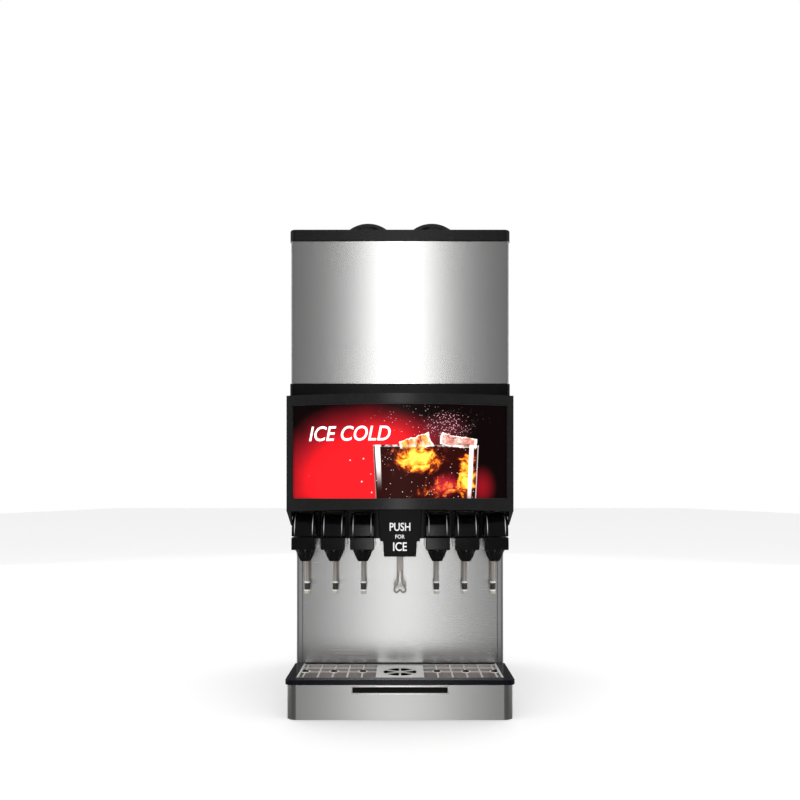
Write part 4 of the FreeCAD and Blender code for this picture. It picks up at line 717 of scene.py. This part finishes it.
# %% The bezel's arc
bezel_low, bezel_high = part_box("bezel")
display_low, display_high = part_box("display_panel")
half_width = bezel_high[0]
bow = 0.050
arc_radius = (half_width ** 2 + bow ** 2) / (2 * bow)
arc_centre = bezel_low[1] + arc_radius


def face_y(x, inset):
    """Where the bezel's bowed face is at x, moved in by an inset."""
    return arc_centre - math.sqrt((arc_radius - inset) ** 2 - x ** 2)


film_left, film_right = display_low[0] + 0.0052, display_high[0] - 0.0052
film_foot, film_top = display_low[2] + 0.0052, display_high[2] - 0.0052
film_inset = display_low[1] - bezel_low[1] - 0.0005
print("bezel arc radius", round(arc_radius, 4), "film inset", round(film_inset, 5))

# %% [markdown]
# ## Artwork
# The film shows a red glow that fades to black, a tumbler of dark drink with lit ice, and spray above it.
# It could be an image, but then it would blur close up. Here each part is worked out from the place on the
# film in millimetres, starting with the backdrop.

# %% Backdrop
film_mm = 1000
art = Finish("display_artwork", Roughness=0.3, IOR=1.5, Specular_IOR_Level=0.08, Emission_Strength=0.55)
spot = art.node("ShaderNodeSeparateXYZ", {}, {"Vector": art.place()})
across = spot * film_mm
up = (Wire(art, spot.socket.node.outputs["Z"]) - film_foot) * film_mm
flat_place = art.node("ShaderNodeCombineXYZ", {}, {"X": across * 0.001, "Z": up * 0.001})


def glow(x, z, wide, tall, outer, inner):
    """1 near a point, fading to 0 outside an ellipse."""
    return clamp((((across - x) / wide) ** 2 + ((up - z) / tall) ** 2) ** 0.5, outer, inner)


def within(value, low, high, blur):
    """1 between two edges, with blurred edges."""
    return clamp(value, low - blur, low + blur) * clamp(value, high + blur, high - blur)


smoke = art.noise(flat_place, 9.0, 3, 0.5)
far = (((across + 95) / 215) ** 2 + ((up - 40) / 175) ** 2) ** 0.5
plume = glow(-5, 165, 150, 66, 1.0, 0.0)
red = (1.22 - far) / 0.74 + (smoke - 0.5) * 0.26 + plume * 0.28
backdrop = art.node("ShaderNodeValToRGB", {"stops": [
    (0.12, (0.003, 0.001, 0.001, 1)), (0.34, (0.09, 0.002, 0.005, 1)), (0.58, (0.28, 0.004, 0.009, 1)),
    (0.80, (0.60, 0.006, 0.010, 1)), (1.0, (0.98, 0.008, 0.012, 1))]}, {"Fac": red})
ember = glow(205, 30, 42, 60, 1.0, 0.0) * 0.65
backdrop = art.mix(ember, backdrop, (0.30, 0.003, 0.010, 1))
print("backdrop ready")

# %% [markdown]
# ## Spray
# Drops fly off the drink and thin out. Each Voronoi cell holds one round spot, and its own random grey
# sets the spot's size, or leaves the cell empty.

# %% Spray and bubbles
def droplets(scale, size, seed):
    """Small round spots, one to a cell, of uneven sizes."""
    shifted = art.node("ShaderNodeVectorMath", {"operation": "ADD"}, {0: flat_place, 1: (seed, 0, seed)})
    cells = art.node("ShaderNodeTexVoronoi", {"feature": "F1"}, {"Vector": shifted, "Scale": scale})
    own = art.node("ShaderNodeRGBToBW", {}, {"Color": Wire(art, cells.socket.node.outputs["Color"])})
    return clamp(cells - own * size, 0.05, 0.0) * (own > 0.35)


fine_spray = droplets(330, 0.34, 3.0) * glow(118, 182, 80, 46, 1.1, 0.10)
wide_spray = droplets(170, 0.15, 7.0) * glow(60, 192, 200, 55, 1.0, 0.3)
loose_drops = droplets(48, 0.10, 11.0) * glow(-110, 60, 130, 90, 1.1, 0.6) * 0.8
spray = clamp(fine_spray + wide_spray * 0.75 + loose_drops, 0.0, 1.0)
backdrop = art.mix(spray, backdrop, (1.0, 0.55, 0.60, 1))
haze = glow(112, 172, 62, 42, 1.2, 0.0) * smoke * 0.20
backdrop = art.mix(haze, backdrop, (0.80, 0.12, 0.18, 1))
print("spray ready")

# %% [markdown]
# ## The drink
# Light comes through dark drink as ember red and amber, brightest where ice lies behind it. Soft ellipses
# place the ice, noise breaks their edges, and one ramp turns the sum into colour.

# %% The drink
rim_height = 134
wall_lean = 0.05
rough_noise = art.noise(flat_place, 38.0, 7, 0.68)
coarse = art.noise(flat_place, 17.0, 3, 0.55)
swirl = art.node("ShaderNodeTexNoise", {}, {"Vector": flat_place, "Scale": 24.0, "Detail": 5.0,
                                           "Roughness": 0.6, "Distortion": 1.8})
left_wall = -67 + (rim_height - up) * wall_lean
right_wall = 197 - (rim_height - up) * wall_lean
inside = clamp(across - left_wall, -0.8, 0.8) * clamp(right_wall - across, -0.8, 0.8) * (up < rim_height)
lit_ice = glow(45, 98, 88, 50, 1.2, 0.25)
side_ice = glow(166, 60, 30, 80, 1.2, 0.2) * 0.95
red_ice = glow(112, 36, 48, 34, 1.1, 0.2) * 0.55
low_ice = glow(80, 20, 80, 34, 1.1, 0.2) * 0.35
warmth = clamp((lit_ice + side_ice + red_ice + low_ice) * 0.78 + (swirl - 0.5) * 1.7
               + (rough_noise - 0.5) * 1.2, 0.16, 0.94)
drink = art.node("ShaderNodeValToRGB", {"stops": [
    (0.0, (0.004, 0.001, 0.001, 1)), (0.34, (0.10, 0.006, 0.003, 1)), (0.55, (0.55, 0.09, 0.008, 1)),
    (0.78, (1.0, 0.33, 0.01, 1)), (1.0, (1.0, 0.66, 0.09, 1))]}, {"Fac": warmth})
drink = art.mix(red_ice * clamp(coarse, 0.42, 0.58), drink, (0.55, 0.012, 0.03, 1))
fizz = droplets(150, 0.14, 17.0) * 0.7
drink = art.mix(fizz * (1 - lit_ice), drink, (0.95, 0.80, 0.75, 1))
print("drink ready")

# %% [markdown]
# ## Ice and glass
# Two cubes stand out of the drink, and the tumbler's walls and rim carry bright lines. A cube is a turned
# rectangle whose sides are bent by noise, with frost drawn over it.


# %% Ice above the rim and the glass walls
def ice_block(x, z, wide, tall, degrees):
    """A turned rectangle with a bright edge: its fill and its edge."""
    cosine, sine = math.cos(math.radians(degrees)), math.sin(math.radians(degrees))
    bent_x = across - x + (coarse - 0.5) * 26
    bent_z = up - z + (swirl - 0.5) * 22
    along = bent_x * cosine + bent_z * sine
    above = bent_z * cosine - bent_x * sine
    reach = art.node("ShaderNodeMath", {"operation": "MAXIMUM"},
                     {0: abs(along) / wide, 1: abs(above) / tall})
    return clamp(reach, 1.02, 0.97), within(reach, 0.86, 1.0, 0.05)


picture = art.mix(inside, backdrop, drink)
for place_and_size, body_colour in (((40, 138, 40, 16, 16), (0.85, 0.42, 0.08, 1)),
                                    ((146, 143, 46, 14, -9), (0.70, 0.26, 0.20, 1))):
    fill, rim = ice_block(*place_and_size)
    shows = fill * clamp(up, 122, 132)
    picture = art.mix(shows * clamp(swirl, 0.36, 0.60), picture, body_colour)
    picture = art.mix(shows * clamp(rough_noise + rim * 0.22, 0.50, 0.78), picture, (1.0, 0.93, 0.86, 1))
left_shine = within(across - left_wall, 5, 17, 2.0) * clamp(up, 10, 120)
right_shine = within(right_wall - across, 13, 23, 2.5) * clamp(up, -40, 60)
edge_shine = within(right_wall - across, 0, 3, 1.0) + within(across - left_wall, 0, 2.5, 1.0) * 0.6
rim_shine = within(up, 129, rim_height, 1.2) * inside * clamp(rough_noise, 0.40, 0.62)
shine = clamp(left_shine + right_shine + edge_shine * 0.45 * inside + rim_shine * 0.8, 0.0, 1.0)
picture = art.mix(shine * inside, picture, (1.0, 0.90, 0.88, 1))
art.feed(Base_Color=picture, Emission_Color=picture)
print("art nodes", len(art.tree.nodes))

# %% [markdown]
# ## The film
# The film is a grid of points on the arc, fine across the bow and coarse up it, where it is straight.

# %% The film
columns, rows = 72, 4
points = []
for row in range(rows + 1):
    for column in range(columns + 1):
        x = film_left + (film_right - film_left) * column / columns
        z = film_foot + (film_top - film_foot) * row / rows
        points.append((x, face_y(x, film_inset), z))
step = columns + 1
faces = [(r * step + c, r * step + c + 1, (r + 1) * step + c + 1, (r + 1) * step + c)
         for r in range(rows) for c in range(columns)]
film = new_piece("display_film", points, faces, art.material, smooth=True)
belongs(film, "cabinet")
nodes["display_panel"].data.materials.clear()
nodes["display_panel"].data.materials.append(bezel_grey)
print("film", len(points))

# %% [markdown]
# ## Lettering
# The headline and the three words on the chute are set in the plain built-in face and turned into thin
# raised letters. The headline bends with the film, so its points are moved onto the arc.

# %% Letters
white_ink = Finish("white_ink", Roughness=0.4)
speck = white_ink.noise(white_ink.place(), 300, 2, 0.5)
white_ink.feed(Base_Color=white_ink.mix(speck, grey(0.80), grey(0.90)))
lit_ink = Finish("lit_ink", Roughness=0.3, Emission_Strength=0.6)
lit_ink.shader.inputs["Emission Color"].default_value = grey(1.0)
speck = lit_ink.noise(lit_ink.place(), 300, 2, 0.5)
lit_ink.feed(Base_Color=lit_ink.mix(speck, grey(0.88), grey(0.95)))


def letters(name, words, centre_x, centre_z, wide, tall, surface, material, shear=0.0, heavy=0.0):
    """Raised letters that fill a width and a height; surface gives y at an x."""
    data = bpy.data.curves.new(name, "FONT")
    data.body = words
    data.size = 1.0
    data.shear = shear
    data.offset = heavy
    data.align_x = "CENTER"
    data.resolution_u = 6
    mesh = mesh_of(name + "_text", data)
    xs = [v.co.x for v in mesh.vertices]
    ys = [v.co.y for v in mesh.vertices]
    scale_x, scale_z = wide / (max(xs) - min(xs)), tall / (max(ys) - min(ys))
    mid_x, mid_y = (max(xs) + min(xs)) / 2, (max(ys) + min(ys)) / 2
    for vertex in mesh.vertices:
        x = centre_x + (vertex.co.x - mid_x) * scale_x
        vertex.co = (x, surface(x), centre_z + (vertex.co.y - mid_y) * scale_z)
    mesh.name = name
    return shown(name, mesh, material)


headline = letters("headline", "ICE COLD", -0.1255, film_foot + 0.163, 0.205, 0.037,
                   lambda x: face_y(x, film_inset - 0.0005), lit_ink.material, 0.22, 0.010)
belongs(headline, "cabinet")
shroud_low, shroud_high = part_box("ice_chute_shroud")
for words, below_top, wide, tall in (("PUSH", 0.0432, 0.052, 0.0205), ("FOR", 0.0678, 0.0235, 0.0100),
                                     ("ICE", 0.0927, 0.0345, 0.0220)):
    word = letters(f"word_{words.lower()}", words, 0.0, shroud_high[2] - below_top, wide, tall,
                   lambda x: shroud_low[1] - 0.0003, white_ink.material, 0.0, 0.012)
    belongs(word, "cabinet")
print("letters set")

# %% [markdown]
# ## Bright and dark lines
# Folded hems on the bin skin, the frame round the label slot and the lip round the display window are
# all one or two millimetres wide. They read as hairlines, and without them the fronts look like blank
# boxes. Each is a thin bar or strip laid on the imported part, which keeps its own shape.

# %% Hems and frames
skin_low, skin_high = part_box("hopper_shell")
for tag, low_z, high_z in (("foot", skin_low[2] + 0.0002, skin_low[2] + 0.0022),
                           ("top", skin_high[2] - 0.0020, skin_high[2] - 0.0002)):
    hem = bar(f"bin_{tag}_hem", (skin_low[0] + 0.004, skin_low[1] - 0.0005, low_z),
              (skin_high[0] - 0.004, skin_low[1] + 0.0003, high_z), bright_steel)
    belongs(hem, "cabinet")
label_low, label_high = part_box("label_plate")
frame_y = label_low[1]
slot_lap, line = 0.0025, 0.0010
left, right = label_low[0] + slot_lap, label_high[0] - slot_lap
foot, top = label_low[2] + slot_lap, label_high[2] - slot_lap
for tag, low, high in (("foot", (left, foot - line), (right, foot)),
                       ("top", (left, top), (right, top + line)),
                       ("left", (left - line, foot - line), (left, top + line)),
                       ("right", (right, foot - line), (right + line, top + line))):
    edge = bar(f"label_frame_{tag}", (low[0], frame_y - 0.0003, low[1]), (high[0], frame_y + 0.0008, high[1]),
               bright_steel)
    belongs(edge, "cabinet")
print("hems and label frame")

# %% [markdown]
# ## Cup rest
# The rest is framed by a raised bright edge on three sides. Below each nozzle it has a bright ring round
# a black rubber grommet. Bars and turned rings are laid on its top face and lift out with it.

# %% Cup rest edges and grommets
edge_top, edge_foot = rest_high[2] + 0.0022, rest_high[2] - 0.0004
rest_left, rest_right, rest_front, rest_back = rest_low[0], rest_high[0], rest_low[1], rest_high[1]
for tag, low, high in (
        ("front", (rest_left, rest_front, edge_foot), (rest_right, rest_front + 0.0040, edge_top)),
        ("left", (rest_left, rest_front, edge_foot), (rest_left + 0.0034, rest_back, edge_top)),
        ("right", (rest_right - 0.0034, rest_front, edge_foot), (rest_right, rest_back, edge_top))):
    belongs(bar(f"rest_edge_{tag}", low, high, polished_edge, 0.0008), "cup_rest")
for n in VALVES:
    low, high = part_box(f"valve_{n}_nozzle")
    below = ((low[0] + high[0]) / 2, (low[1] + high[1]) / 2)
    z = rest_high[2]
    ring_outline = [(0.0084, z - 0.0006, 0), (0.0088, z + 0.0008, 0), (0.0128, z + 0.0008, 0),
                    (0.0134, z + 0.0001, 0)]
    ring = turned(f"rest_ring_{n}", ring_outline, below, polished_edge, 40)
    belongs(ring, "cup_rest")
    grommet_outline = [(0.0, z + 0.0018, 0), (0.0040, z + 0.0020, 0), (0.0074, z + 0.0022, 0),
                       (0.0086, z + 0.0016, 0), (0.0088, z + 0.0001, 0)]
    grommet = turned(f"rest_grommet_{n}", grommet_outline, below, rubber_black, 32)
    belongs(grommet, "cup_rest")
print("rest edges", 3, "rings", len(VALVES))

# %% [markdown]
# ## Window lip
# A dark brown lip edges the display's window. It is four strips on the same arc as the film, a little in
# front of it.


# %% Window lip
def arc_strip(name, low_z, high_z, inset, left, right, material):
    """A flat strip that follows the bezel's arc."""
    count = 48
    points = [(left + (right - left) * k / count, face_y(left + (right - left) * k / count, inset), z)
              for z in (low_z, high_z) for k in range(count + 1)]
    faces = [(k, k + 1, count + 2 + k, count + 1 + k) for k in range(count)]
    return new_piece(name, points, faces, material, smooth=True)


lip_brown = gloss_moulding("window_lip", 0.035, 0.3)
edging_inset, edging_tall, edging_wide = film_inset - 0.0003, 0.0014, 0.0016
for tag, low_z, high_z in (("foot", film_foot, film_foot + edging_tall),
                           ("top", film_top - edging_tall, film_top)):
    lip = arc_strip(f"window_lip_{tag}", low_z, high_z, edging_inset, film_left, film_right, lip_brown)
    belongs(lip, "cabinet")
for tag, low_x, high_x in (("left", film_left, film_left + edging_wide),
                           ("right", film_right - edging_wide, film_right)):
    lip = arc_strip(f"window_lip_{tag}", film_foot, film_top, edging_inset, low_x, high_x, lip_brown)
    belongs(lip, "cabinet")
print("window lip")
